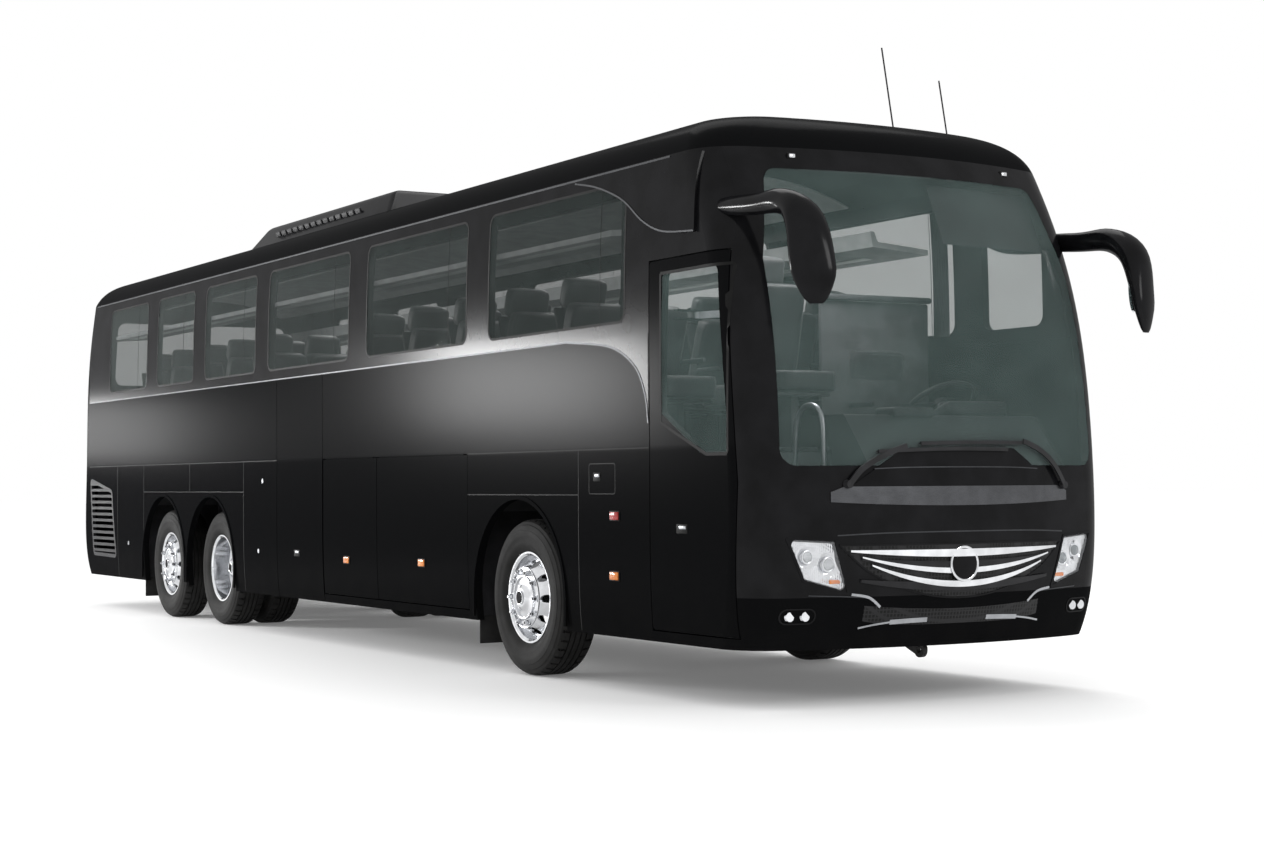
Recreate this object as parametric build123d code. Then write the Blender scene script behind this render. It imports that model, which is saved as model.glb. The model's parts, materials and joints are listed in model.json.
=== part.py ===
from build123d import *
import math
import os

# A three-axle high-deck touring coach, in millimetres. While it is modelled, X = 0 is the front
# axle, +X points forward, +Y to the driver's side, +Z up, and the tyres stand on Z = 0. At the
# end every piece moves along X, so that the origin lies under the middle of the bounding box.

# Driving dimensions of the whole coach
WHEELBASE = 6090
TAG_SPACING = 1350
REAR_OVERHANG = 2800
FRONT_OVERHANG = 2985
HALF_WIDTH = 1275
MIRROR_REACH = 445
GUTTER_HEIGHT = 3150
ROOF_HEIGHT = 3420
BELT_HEIGHT = 2125
SEAM_HEIGHT = 1457
SKIRT_HEIGHT = 330
BUMPER_TOP = 620
DECK_TOP = 1440
PLATFORM_TOP = 1140

# Skins, gaps and clearances
WALL = 50
GLASS = 8
PANEL_GAP = 8
SEAM = 0.3
SEAT_GAP = 0.3
NOSE_BOW_RADIUS = 3600

DRIVE_X = -WHEELBASE
TAG_X = DRIVE_X - TAG_SPACING
TAIL_X = TAG_X - REAR_OVERHANG
FRONT_AXLE_X = (-TAIL_X - FRONT_OVERHANG - MIRROR_REACH) / 2

# Level plan sections of the body: height, nose setback, tail setback, side tuck, front and rear
# corner radius. The roof's sections go on from the last of the body's.
BODY_SECTIONS = [
    (SKIRT_HEIGHT, 125, 120, 22, 300, 200),
    (BUMPER_TOP, 30, 0, 4, 300, 200),
    (1250, 0, 0, 0, 300, 200),
    (BELT_HEIGHT, 95, 50, 0, 300, 200),
    (2700, 270, 130, 9, 300, 200),
    (GUTTER_HEIGHT, 485, 230, 35, 300, 200),
]
ROOF_SECTIONS = [
    (GUTTER_HEIGHT, 485, 230, 35, 300, 200),
    (3290, 600, 330, 130, 300, 210),
    (3375, 790, 470, 310, 300, 210),
    (ROOF_HEIGHT, 1040, 740, 640, 300, 210),
]

# Side windows, rear edge and front edge; their sill, head and corner radius
WINDOWS = [(-420, 1410), (-2500, -760), (-4600, -2850), (-6220, -4910), (-7630, -6550), (-9200, -7950)]
WINDOW_SILL = 2215
WINDOW_HEAD = 3050
WINDOW_CORNER = 70
DRIVER_WINDOW = (1700, 2270)

# Doorways on the kerb side (-Y): rear edge, front edge, sill, head
FRONT_DOOR = (1700, 2615, 400, 2540)
# Front edge of the sides, in X and Z, behind which door, side panels and window bands end
FRONT_EDGE = [(2565, 280), (2575, 400), (2615, 1250), (2495, 2540), (2430, 3200)]
MID_DOOR = (-4390, -3390, 290, BELT_HEIGHT)
DOOR_THICKNESS = 45
ENTRY_FLOOR = 400
MID_ENTRY_FLOOR = 420

# Swing arms of the doors: post setback from the front edge, arm length, offsets and neck
ARM_LENGTH = 500
ARM_RISE = 25
POST_SETBACK = 175
POST_INSET = 165
ARM_NECK_ALONG = 100
ARM_NECK_ASIDE = 180
ARM_RADIUS = 17
POST_RADIUS = 22
ARM_EYE_RADIUS = 28
ARM_PIN_RADIUS = 12
ARM_HEIGHTS = (0.3, 0.85)

# Luggage flaps: rear edge, front edge; lower edge
FLAPS = [(-2307, -748), (-3370, -2307)]
FLAP_FOOT = 400
LUGGAGE_FLOOR = 400

# Wheels and axles
TYRE_RADIUS = 510
TYRE_HALF_WIDTH = 147
RIM_RADIUS = 286
FLANGE_RADIUS = 298
RIM_HALF_WIDTH = 118
RIM_WALL = 12
HUB_BORE = 60
WHEEL_Y = 1075
DRIVE_WHEEL_Y = 1040
TWIN_SPACING = 335
KINGPIN_Y = 930
KINGPIN_RADIUS = 25
AXLE_EYE_RADIUS = 55
AXLE_EYE_HALF = 80
HAND_HOLES = 10
HAND_HOLE_RADIUS = 26
HAND_HOLE_CIRCLE = 226
ARCH_RADIUS = 640
ARCH_WALL = 15
ARCH_INNER_Y = 490
FRONT_ARCH_INNER_Y = 470

OUT = "parts"
pieces = {}


def block(x0, x1, y0, y1, z0, z1):
    """Box between two corners."""
    return Pos((x0 + x1) / 2, (y0 + y1) / 2, (z0 + z1) / 2) * Box(x1 - x0, y1 - y0, z1 - z0)


def across(sketch, y0, y1):
    """Sketch drawn in X and Z, extruded from y0 to y1."""
    return Pos(0, y1, 0) * extrude(Plane.XZ * sketch, amount=y1 - y0)


def along(sketch, x0, x1):
    """Sketch drawn in Y and Z, extruded from x0 to x1."""
    return Pos(x0, 0, 0) * extrude(Plane.YZ * sketch, amount=x1 - x0)


def upward(sketch, z0, z1):
    """Sketch drawn in X and Y, extruded from z0 to z1."""
    return Pos(0, 0, z0) * extrude(sketch, amount=z1 - z0)


def lengthwise(radius, y0, y1, x, z=TYRE_RADIUS):
    """Round bar across the coach."""
    return Pos(x, y1, z) * Rot(90, 0, 0) * Cylinder(radius, y1 - y0, align=(Align.CENTER, Align.CENTER, Align.MIN))


def panel(u0, u1, v0, v1, radius):
    """Rounded rectangle between two corners."""
    return Pos((u0 + u1) / 2, (v0 + v1) / 2) * RectangleRounded(u1 - u0, v1 - v0, radius)


def outline(*points):
    """Polygon through the points."""
    return make_face(Polyline(*points, close=True))


def rounded(face, radius):
    return fillet(face.vertices(), radius)


def mirrored(shape):
    """The same piece on the other side of the coach."""
    return mirror(shape, Plane.XZ)


def solids(*shapes):
    """All the solids in the shapes, as one list."""
    found = []
    for shape in shapes:
        if isinstance(shape, (list, tuple)):
            for item in shape:
                found.extend(item.solids())
        else:
            found.extend(shape.solids())
    return found


def node(name, *shapes):
    pieces[name] = solids(*shapes)


def ring(profile):
    """Revolve a profile drawn as (radius, distance outboard) about the Y axis, outboard = +Y."""
    face = make_face(Polyline(*profile, close=True))
    return revolve(face, Axis.Y, 360)


def plan_section(height, nose, tail, tuck, front_corner, rear_corner, inset):
    x_nose = FRONT_OVERHANG - nose - inset
    x_tail = TAIL_X + tail + inset
    half = HALF_WIDTH - tuck - inset
    sag = NOSE_BOW_RADIUS - math.sqrt(NOSE_BOW_RADIUS**2 - half**2)
    edge = [
        ThreePointArc((x_nose - sag, half), (x_nose, 0), (x_nose - sag, -half)),
        Line((x_nose - sag, -half), (x_tail, -half)),
        Line((x_tail, -half), (x_tail, half)),
        Line((x_tail, half), (x_nose - sag, half)),
    ]
    face = make_face(edge)
    face = fillet([v for v in face.vertices() if v.X > 0], front_corner - inset)
    face = fillet([v for v in face.vertices() if v.X < x_tail + 10], rear_corner - inset)
    return Pos(0, 0, height) * face


def body_form(inset):
    return loft([plan_section(*row, inset) for row in BODY_SECTIONS])


def roof_form(inset):
    rows = [(row[0] - (inset if row[0] > GUTTER_HEIGHT else 0),) + row[1:] for row in ROOF_SECTIONS]
    return loft([plan_section(*row, inset) for row in rows])


BODY = body_form(0)
SHELL = BODY - body_form(WALL)
GLASS_SKIN = BODY - body_form(GLASS)
ROOF_SHELL = roof_form(0) - roof_form(WALL)
INSIDE = body_form(WALL + SEAT_GAP)
OUTSIDE = body_form(-SEAT_GAP)

REAR_SPLIT_X = TAIL_X + 290
SIDE_INNER_Y = HALF_WIDTH - 130
FAR = 1500


# Shapes of the openings, in X and Z on a side
def window_face(x0, x1, sill, shrink):
    return panel(x0 + shrink, x1 - shrink, sill + shrink, WINDOW_HEAD - shrink, WINDOW_CORNER - shrink)


def side_region(x0, x1, z0, z1, side):
    y0, y1 = (-FAR, -SIDE_INNER_Y) if side < 0 else (SIDE_INNER_Y, FAR)
    return block(x0, x1, y0, y1, z0, z1)


def side_cut(sketch, side):
    y0, y1 = (-FAR, -SIDE_INNER_Y + 5) if side < 0 else (SIDE_INNER_Y - 5, FAR)
    return across(sketch, y0, y1)


def ahead_of_edge(shift):
    """Everything ahead of the sides' front edge, moved forward by shift."""
    edge = [(x + shift, z) for x, z in FRONT_EDGE]
    far_x = FRONT_OVERHANG + 500
    return across(outline(*edge, (far_x, FRONT_EDGE[-1][1]), (far_x, FRONT_EDGE[0][1])), -FAR, FAR)


AHEAD = ahead_of_edge(PANEL_GAP)
AHEAD_AND_SEAM = ahead_of_edge(PANEL_GAP - SEAM)
SIDE_FRONT_X = FRONT_DOOR[1] + 50


def arch_face(x, radius):
    """Wheel arch: a half circle on straight legs that run down past the skirt."""
    legs = Pos(x, 200) * Rectangle(2 * radius, 2 * (TYRE_RADIUS - 200))
    return Pos(x, TYRE_RADIUS) * Circle(radius) + legs


# Window band of each side, with its panes
def window_band(side):
    band = SHELL & side_region(REAR_SPLIT_X, SIDE_FRONT_X, BELT_HEIGHT + SEAM, GUTTER_HEIGHT - SEAM, side)
    band -= AHEAD_AND_SEAM
    panes = []
    openings = [(x0, x1, WINDOW_SILL) for x0, x1 in WINDOWS]
    if side > 0:
        openings.append((*DRIVER_WINDOW, BELT_HEIGHT + 90))
    for x0, x1, sill in openings:
        band -= side_cut(window_face(x0, x1, sill, 0), side)
        panes.append(GLASS_SKIN & side_cut(window_face(x0, x1, sill, SEAT_GAP), side))
    if side < 0:
        x0, x1, _, head = FRONT_DOOR
        band -= side_region(x0 - PANEL_GAP, FAR * 2, 0, head + PANEL_GAP, side)
    return band, panes


band_right, panes_right = window_band(-1)
band_left, panes_left = window_band(1)
node("window_bands", band_right, band_left)

# Side panels between belt and skirt. Columns: rear edge, front edge, foot, top
LOWER_PANELS = [
    (REAR_SPLIT_X, -8930, SKIRT_HEIGHT, SEAM_HEIGHT),
    (-8930, -8050, SKIRT_HEIGHT, SEAM_HEIGHT),
    (-8050, -5200, SKIRT_HEIGHT, SEAM_HEIGHT),
    (-748, 829, SKIRT_HEIGHT, SEAM_HEIGHT),
]
ARCHES = [0, DRIVE_X, TAG_X]
GRILLE_FACE = rounded(outline((-9920, 1343), (-9125, 1215), (-8980, 523), (-9810, 532)), 60)


def side_panels(side):
    found = []
    upper_front = FRONT_DOOR[0] - PANEL_GAP if side < 0 else SIDE_FRONT_X
    lower = list(LOWER_PANELS)
    if side < 0:
        lower.append((-5200, MID_DOOR[0] - PANEL_GAP, SKIRT_HEIGHT, SEAM_HEIGHT))
        lower.append((829, FRONT_DOOR[0] - PANEL_GAP, SKIRT_HEIGHT, SEAM_HEIGHT))
        uppers = [(REAR_SPLIT_X, MID_DOOR[0] - PANEL_GAP), (MID_DOOR[1] + PANEL_GAP, upper_front)]
    else:
        lower.append((-5200, FLAPS[1][0] - PANEL_GAP, SKIRT_HEIGHT, SEAM_HEIGHT))
        lower.append((829, SIDE_FRONT_X, SKIRT_HEIGHT, SEAM_HEIGHT))
        uppers = [(REAR_SPLIT_X, upper_front)]
    for x0, x1 in uppers:
        found.append((SHELL & side_region(x0, x1, SEAM_HEIGHT, BELT_HEIGHT, side)) - AHEAD_AND_SEAM)
    # the sills under the flaps and the front door
    found.append(SHELL & side_region(FLAPS[1][0] - PANEL_GAP + SEAM, FLAPS[0][1], SKIRT_HEIGHT, FLAP_FOOT - PANEL_GAP, side))
    if side < 0:
        sill = side_region(FRONT_DOOR[0] - PANEL_GAP + SEAM, SIDE_FRONT_X, SKIRT_HEIGHT, FRONT_DOOR[2] - PANEL_GAP, side)
        found.append((SHELL & sill) - AHEAD_AND_SEAM)
    for x0, x1, foot, top in lower:
        skin = (SHELL & side_region(x0 + SEAM, x1, foot, top - SEAM, side)) - AHEAD_AND_SEAM
        for x in ARCHES:
            if x0 < x < x1:
                skin -= side_cut(arch_face(x, ARCH_RADIUS), side)
        if side < 0 and x1 < TAG_X - ARCH_RADIUS:
            skin -= side_cut(GRILLE_FACE, side)
        found.append(skin)
    return found


node("side_panels_right", side_panels(-1))
node("side_panels_left", side_panels(1))

# Louvred radiator grille in the kerb-side rear corner
GRILLE_PITCH = 62
GRILLE_SLOT = 34
grille = (BODY - body_form(30)) & side_cut(offset(GRILLE_FACE, -SEAT_GAP), -1)
slot_face = offset(GRILLE_FACE, -35)
for i in range(14):
    height = 545 + i * GRILLE_PITCH
    slot = slot_face & (Pos(-9450, height + GRILLE_SLOT / 2) * Rectangle(2000, GRILLE_SLOT))
    if slot.area > 1000:
        grille -= side_cut(slot, -1)

# Roof
node("roof", ROOF_SHELL)

# Roof unit: cooling housing, in profile along the coach and in section across it
UNIT_TOP = 3680
unit_side = outline((-6250, 3300), (-6150, 3560), (-5900, UNIT_TOP), (-3700, UNIT_TOP), (-2750, 3300))
unit_section = outline((-880, 3300), (-880, 3480), (-700, 3640), (0, UNIT_TOP), (700, 3640), (880, 3480), (880, 3300))
unit = across(rounded(unit_side, 40), -900, 900) & along(unit_section, -6400, -2600)
node("roof_unit", unit - roof_form(-SEAT_GAP))

# Front: mask with windscreen opening, lamps, grille; bumper below
screen_face = outline((-1110, 1340), (1110, 1340), (1090, 2490), (960, 3020), (-960, 3020), (-1090, 2490))
screen_face = rounded(screen_face, 90)
LAMP_CORNERS = [(728, 640), (980, 714), (1075, 945), (817, 930)]


def lamp_face(side, shrink):
    face = rounded(outline(*[(side * y, z) for y, z in LAMP_CORNERS]), 35)
    return offset(face, -shrink) if shrink else face


header_foot = FRONT_DOOR[3] + PANEL_GAP
front_zone = AHEAD & block(2000, FAR * 3, -FAR, FAR, BUMPER_TOP + SEAM, GUTTER_HEIGHT - SEAM)
front_zone += block(2000, FAR * 3, SEAM - SIDE_INNER_Y, SIDE_INNER_Y - SEAM, header_foot, GUTTER_HEIGHT - SEAM)
mask = SHELL & front_zone
mask -= along(screen_face, 2000, 3500)
for side in (-1, 1):
    mask -= along(lamp_face(side, 0), 2450, 3500)
node("front_mask", mask)
node("windscreen", GLASS_SKIN & along(offset(screen_face, -SEAT_GAP), 2100, 3500))
lamp_skin = BODY - body_form(40)
node("headlamps", [lamp_skin & along(lamp_face(side, SEAT_GAP), 2450, 3500) for side in (-1, 1)])

front_bumper = SHELL & block(2000, FAR * 3, -FAR, FAR, SKIRT_HEIGHT, BUMPER_TOP) & AHEAD
rear_bumper = SHELL & block(TAIL_X - 50, REAR_SPLIT_X - SEAM, -FAR, FAR, SKIRT_HEIGHT, BUMPER_TOP)
node("bumpers", front_bumper, rear_bumper)

# Crescent bars between the headlamps, standing proud of the mask
bar_faces = []
for low, high in ((640, 690), (760, 805)):
    arc_low = ThreePointArc((-660, low + 60), (0, low), (660, low + 60))
    arc_high = ThreePointArc((660, low + 75), (0, high), (-660, low + 75))
    bar_faces.append(make_face([arc_low, Line(arc_low @ 1, arc_high @ 0), arc_high, Line(arc_high @ 1, arc_low @ 0)]))
bar_skin = body_form(-14) - OUTSIDE
node("grilles", grille, [bar_skin & along(face, 2450, 3500) for face in bar_faces])

# Rear wall with window and engine lid
REAR_WINDOW = (950, 2330, 3010)
ENGINE_LID = (860, 700, 1690)
rear_zone = block(TAIL_X - 50, REAR_SPLIT_X - SEAM, -FAR, FAR, BUMPER_TOP + SEAM, GUTTER_HEIGHT - SEAM)
rear_face = panel(-REAR_WINDOW[0], REAR_WINDOW[0], REAR_WINDOW[1], REAR_WINDOW[2], 90)
lid_face = panel(-ENGINE_LID[0], ENGINE_LID[0], ENGINE_LID[1], ENGINE_LID[2], 60)
TAIL_LAMP = (980, 1120, 900, 1500)


def tail_lamp_face(side, shrink):
    y0, y1, z0, z1 = TAIL_LAMP
    y0, y1 = (side * y0, side * y1) if side > 0 else (side * y1, side * y0)
    return panel(y0 + shrink, y1 - shrink, z0 + shrink, z1 - shrink, 45)


rear_wall = SHELL & rear_zone
rear_wall -= along(rear_face, TAIL_X - 50, TAIL_X + 500)
rear_wall -= along(offset(lid_face, PANEL_GAP), TAIL_X - 50, TAIL_X + 500)
for side in (-1, 1):
    rear_wall -= along(tail_lamp_face(side, 0), TAIL_X - 50, TAIL_X + 500)
node("rear_wall", rear_wall)
rear_pane = GLASS_SKIN & along(offset(rear_face, -SEAT_GAP), TAIL_X - 50, TAIL_X + 500)
node("windows", panes_right, panes_left, rear_pane)
lid_skin = BODY - body_form(DOOR_THICKNESS)


HINGE_RADIUS = PANEL_GAP / 2 - SEAT_GAP
HINGE_WEB = 3


def skin_at(height):
    """Where the outer skin lies at a height: half width beside the axles, X of the tail."""
    slab = BODY & block(-WHEELBASE, 0, -FAR, FAR, height, height + 1)
    tail = BODY & block(TAIL_X - 100, TAIL_X + 500, -50, 50, height, height + 1)
    return slab.bounding_box().max.Y, tail.bounding_box().min.X


lid_hinge_z = ENGINE_LID[2] + PANEL_GAP / 2
lid_hinge_x = skin_at(lid_hinge_z)[1]
lid = lid_skin & along(lid_face, TAIL_X - 50, TAIL_X + 500)
lid_bar = ENGINE_LID[0] - 100
lid += lengthwise(HINGE_RADIUS, -lid_bar, lid_bar, lid_hinge_x, lid_hinge_z)
lid += block(lid_hinge_x, lid_hinge_x + HINGE_WEB, -lid_bar, lid_bar, lid_hinge_z - PANEL_GAP, lid_hinge_z)
node("engine_lid", lid)
node("tail_lamps", [lamp_skin & along(tail_lamp_face(side, SEAT_GAP), TAIL_X - 50, TAIL_X + 500) for side in (-1, 1)])

# Luggage flaps, hung at their top edge
flap_hinge_z = SEAM_HEIGHT - PANEL_GAP / 2
flap_hinge_y = skin_at(flap_hinge_z)[0]
flap_names = ("front", "rear")
for (x0, x1), where in zip(FLAPS, flap_names):
    for side, hand in ((-1, "right"), (1, "left")):
        zone = side_region(x0 + PANEL_GAP / 2, x1 - PANEL_GAP / 2, FLAP_FOOT, SEAM_HEIGHT - PANEL_GAP, side)
        bar_x0, bar_x1 = x0 + 60, x1 - 60
        bar = Plane(origin=(bar_x0, flap_hinge_y, flap_hinge_z), z_dir=(1, 0, 0)) * Cylinder(
            HINGE_RADIUS, bar_x1 - bar_x0, align=(Align.CENTER, Align.CENTER, Align.MIN)
        )
        bar += block(bar_x0, bar_x1, flap_hinge_y - HINGE_WEB, flap_hinge_y, flap_hinge_z - PANEL_GAP, flap_hinge_z)
        flap = (lid_skin & zone) + (bar if side > 0 else mirrored(bar))
        node(f"luggage_flap_{where}_{hand}", flap)


# Doors: leaf, glass, and the swing arm that carries the leaf from a turning post
def arm_points(door):
    """Post and pivot of a door's swing arm, in plan."""
    post = (door[1] - POST_SETBACK, -(HALF_WIDTH - POST_INSET))
    reach = math.sqrt(ARM_LENGTH**2 - ARM_RISE**2)
    pivot = (post[0] - reach, post[1] + ARM_RISE)
    neck = (post[0] - ARM_NECK_ALONG, post[1] + ARM_NECK_ASIDE)
    return post, neck, pivot


def bar_face(start, end, radius):
    """Flat bar with round ends between two points in plan."""
    dx, dy = end[0] - start[0], end[1] - start[1]
    length = math.hypot(dx, dy)
    middle = Pos((start[0] + end[0]) / 2, (start[1] + end[1]) / 2) * Rot(0, 0, math.degrees(math.atan2(dy, dx)))
    ends = Pos(*start) * Circle(radius) + Pos(*end) * Circle(radius)
    return ends + middle * Rectangle(length, 2 * radius)


def upright(point, radius, z0, z1):
    return Pos(point[0], point[1], z0) * Cylinder(radius, z1 - z0, align=(Align.CENTER, Align.CENTER, Align.MIN))


EYE_HALF = 20


def swing_arm(door, foot, head):
    post, neck, pivot = arm_points(door)
    face = bar_face(post, neck, ARM_RADIUS) + bar_face(neck, pivot, ARM_RADIUS)
    face += Pos(*post) * Circle(ARM_EYE_RADIUS) + Pos(*pivot) * Circle(ARM_EYE_RADIUS)
    face -= Pos(*pivot) * Circle(ARM_PIN_RADIUS + SEAT_GAP)
    arm = upright(post, POST_RADIUS, foot, head)
    for share in ARM_HEIGHTS:
        height = door[2] + share * (door[3] - door[2])
        arm += upward(face, height - EYE_HALF, height + EYE_HALF)
    return arm


def door_brackets(door, leaf):
    """Two lugs and a pin at each arm, standing on the leaf's inner face."""
    _, _, pivot = arm_points(door)
    y_leaf = -(HALF_WIDTH - DOOR_THICKNESS + 8)
    for share in ARM_HEIGHTS:
        height = door[2] + share * (door[3] - door[2])
        for z0 in (height - EYE_HALF - SEAT_GAP - 10, height + EYE_HALF + SEAT_GAP):
            leaf += block(pivot[0] - 25, pivot[0] + 25, y_leaf, pivot[1], z0, z0 + 10)
            leaf += upright(pivot, 25, z0, z0 + 10)
        leaf += upright(pivot, ARM_PIN_RADIUS, height - EYE_HALF - 8, height + EYE_HALF + 8)
    return leaf


x0, x1, sill, head = FRONT_DOOR
door_zone = across(panel(x0, x1 + 100, sill, head, 25), -FAR, -900) - ahead_of_edge(0)
door_glass = rounded(outline((1817, 1662), (1850, 2474), (2430, 2463), (2550, 1400), (2250, 1420)), 50)
leaf = (lid_skin & door_zone) - across(door_glass, -FAR, -900)
node("front_door", door_brackets(FRONT_DOOR, leaf))
node("front_door_glass", GLASS_SKIN & across(offset(door_glass, -SEAT_GAP), -FAR, -900))
node("front_door_arm", swing_arm(FRONT_DOOR, ENTRY_FLOOR + SEAT_GAP, head - 60))

# The mid door is hung the other way round, so that it swings clear of the luggage flaps
x0, x1, sill, head = MID_DOOR
mid_zone = across(Pos((x0 + x1) / 2, (sill + head) / 2) * Rectangle(x1 - x0, head - sill), -FAR, -1100)
mid_leaf = (BODY - body_form(DOOR_THICKNESS)) & mid_zone
mid_turn = Plane.YZ.offset((x0 + x1) / 2)
node("mid_door", mirror(door_brackets(MID_DOOR, mid_leaf), mid_turn))
node("mid_door_arm", mirror(swing_arm(MID_DOOR, MID_ENTRY_FLOOR + SEAT_GAP, head - 60), mid_turn))


# Wheels. Profiles are (radius, distance outboard of the tyre's middle)
def tyre():
    w, r = TYRE_HALF_WIDTH, TYRE_RADIUS
    profile = [
        (RIM_RADIUS + SEAT_GAP, -98), (RIM_RADIUS + 22, -116), (RIM_RADIUS + 75, -w + 4), (r - 95, -w),
        (r - 40, -w + 12), (r - 14, -w + 26), (r, -w + 60), (r, w - 60), (r - 14, w - 26),
        (r - 40, w - 12), (r - 95, w), (RIM_RADIUS + 75, w - 4), (RIM_RADIUS + 22, 116), (RIM_RADIUS + SEAT_GAP, 98),
    ]
    return ring(profile)


def rim_profile(face, cap, hub_in, hub_out):
    """Barrel with flanges, dished disc whose outer face lies at face, and a hub closed by a cap."""
    w, lip = RIM_HALF_WIDTH, FLANGE_RADIUS
    inner = RIM_RADIUS - RIM_WALL
    turn = 1 if face > 0 else -1
    root = turn * 45
    back = face - RIM_WALL
    barrel_out = [(inner, w - 12), (RIM_RADIUS, w), (lip, w), (lip, w - 10), (RIM_RADIUS, w - 16)]
    barrel_in = [(RIM_RADIUS, 16 - w), (lip, 10 - w), (lip, -w), (RIM_RADIUS, -w), (inner, 12 - w)]
    disc_back = [(inner, root - 8), (250, root + turn * 12 - 8), (200, back - turn * 8), (120, back)]
    hub = [(120, hub_in), (HUB_BORE + SEAT_GAP, hub_in), (HUB_BORE + SEAT_GAP, hub_out)]
    nose = [(0, hub_out), (0, cap), (62, cap - 6), (84, cap - 26), (96, max(face, hub_out - 60) + 8)]
    disc_front = [(150, face), (200, face - turn * 8), (252, root + turn * 14 + 6), (inner, root + 6)]
    return barrel_out, barrel_in, disc_back, hub, nose, disc_front


def hand_holes(rim, face):
    for i in range(HAND_HOLES):
        angle = 360 * (i + 0.5) / HAND_HOLES
        hole = Pos(0, face, HAND_HOLE_CIRCLE) * Rot(90, 0, 0) * Cylinder(HAND_HOLE_RADIUS, 400)
        rim -= Rot(0, angle, 0) * hole
    return rim


def single_rim(face, cap):
    barrel_out, barrel_in, disc_back, hub, nose, disc_front = rim_profile(face, cap, -58, cap - 20)
    return hand_holes(ring(barrel_out + barrel_in + disc_back + hub + nose + disc_front), face)


TWIN_FACE = -TWIN_SPACING / 2


def ring_of_barrel(mirror_sign):
    """Barrel and disc of one twin rim, without hub; the disc's seat lies between the two tyres."""
    w, lip, inner = RIM_HALF_WIDTH, FLANGE_RADIUS, RIM_RADIUS - RIM_WALL
    profile = [
        (inner, w - 12), (RIM_RADIUS, w), (lip, w), (lip, w - 10), (RIM_RADIUS, w - 16),
        (RIM_RADIUS, 16 - w), (lip, 10 - w), (lip, -w), (RIM_RADIUS, -w), (inner, 12 - w),
        (inner, -60), (252, -76), (205, TWIN_FACE + 2), (100, TWIN_FACE),
        (100, TWIN_FACE + RIM_WALL), (198, TWIN_FACE + RIM_WALL), (244, -62), (inner, -44),
    ]
    return ring([(r, mirror_sign * w) for r, w in profile])


def twin_rims():
    outer = ring_of_barrel(1)
    inner = Pos(0, -TWIN_SPACING, 0) * ring_of_barrel(-1)
    bore = HUB_BORE + SEAT_GAP
    hub = ring([(110, -330), (bore, -330), (bore, 10), (0, 10), (0, 40), (60, 36), (88, 16), (110, -150)])
    return hand_holes(outer + inner + hub, TWIN_FACE)


# name, X of the axle, Y of the (outer) tyre's middle, kind
WHEELS = [
    ("front", 0, WHEEL_Y, "front"),
    ("drive", DRIVE_X, DRIVE_WHEEL_Y, "drive"),
    ("tag", TAG_X, WHEEL_Y, "tag"),
]
FRONT_FACE, FRONT_CAP = 150, 188
TAG_FACE, TAG_CAP = 130, 163
TYRE = tyre()
RIMS = {"front": single_rim(FRONT_FACE, FRONT_CAP), "tag": single_rim(TAG_FACE, TAG_CAP), "drive": twin_rims()}
for name, x, y, kind in WHEELS:
    for side, hand in ((-1, "right"), (1, "left")):
        spot = Pos(x, side * y, TYRE_RADIUS)
        turn = Rot(0, 0, 180 if side < 0 else 0)
        tyres = [TYRE]
        if kind == "drive":
            tyres.append(Pos(0, -TWIN_SPACING, 0) * TYRE)
        node(f"tyre_{name}_{hand}", [spot * turn * t for t in tyres])
        node(f"rim_{name}_{hand}", spot * turn * RIMS[kind])


# Axles, knuckles
SPRING_Y = 350
BEAM_TOP = 470
EYE_LOW, EYE_HIGH = TYRE_RADIUS - AXLE_EYE_HALF, TYRE_RADIUS + AXLE_EYE_HALF
beam_half = [
    (0, 350), (640, 350), (800, 445), (KINGPIN_Y - 20, 445), (KINGPIN_Y - 20, 575), (780, 575),
    (640, BEAM_TOP), (0, BEAM_TOP),
]
beam = along(outline(*beam_half), -45, 45)
beam += mirrored(beam)
for side in (-1, 1):
    beam += upright((0, side * KINGPIN_Y), AXLE_EYE_RADIUS, EYE_LOW, EYE_HIGH)
    beam -= upright((0, side * KINGPIN_Y), KINGPIN_RADIUS + SEAT_GAP, EYE_LOW - 1, EYE_HIGH + 1)
node("front_axle", beam)

LUG_THICK = 45
PLATE_GAP = 6
PLATE = 18


def knuckle():
    """Yoke round the axle's eye, kingpin and stub axle, on the +Y side."""
    pin = (0, KINGPIN_Y)
    plate_y = KINGPIN_Y + AXLE_EYE_RADIUS + PLATE_GAP
    low, high = EYE_LOW - SEAT_GAP - LUG_THICK, EYE_HIGH + SEAT_GAP + LUG_THICK
    part = upright(pin, KINGPIN_RADIUS, low + 1, high - 1)
    for z0 in (low, high - LUG_THICK):
        part += upright(pin, AXLE_EYE_RADIUS, z0, z0 + LUG_THICK)
        part += block(-AXLE_EYE_RADIUS, AXLE_EYE_RADIUS, KINGPIN_Y, plate_y + PLATE, z0, z0 + LUG_THICK)
    part += block(-AXLE_EYE_RADIUS, AXLE_EYE_RADIUS, plate_y, plate_y + PLATE, low, high)
    stub_end = WHEEL_Y + FRONT_CAP - 20 - SEAT_GAP
    part += lengthwise(HUB_BORE, plate_y + PLATE - 1, stub_end, 0)
    return part


node("knuckle_left", knuckle())
node("knuckle_right", mirrored(knuckle()))

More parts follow.
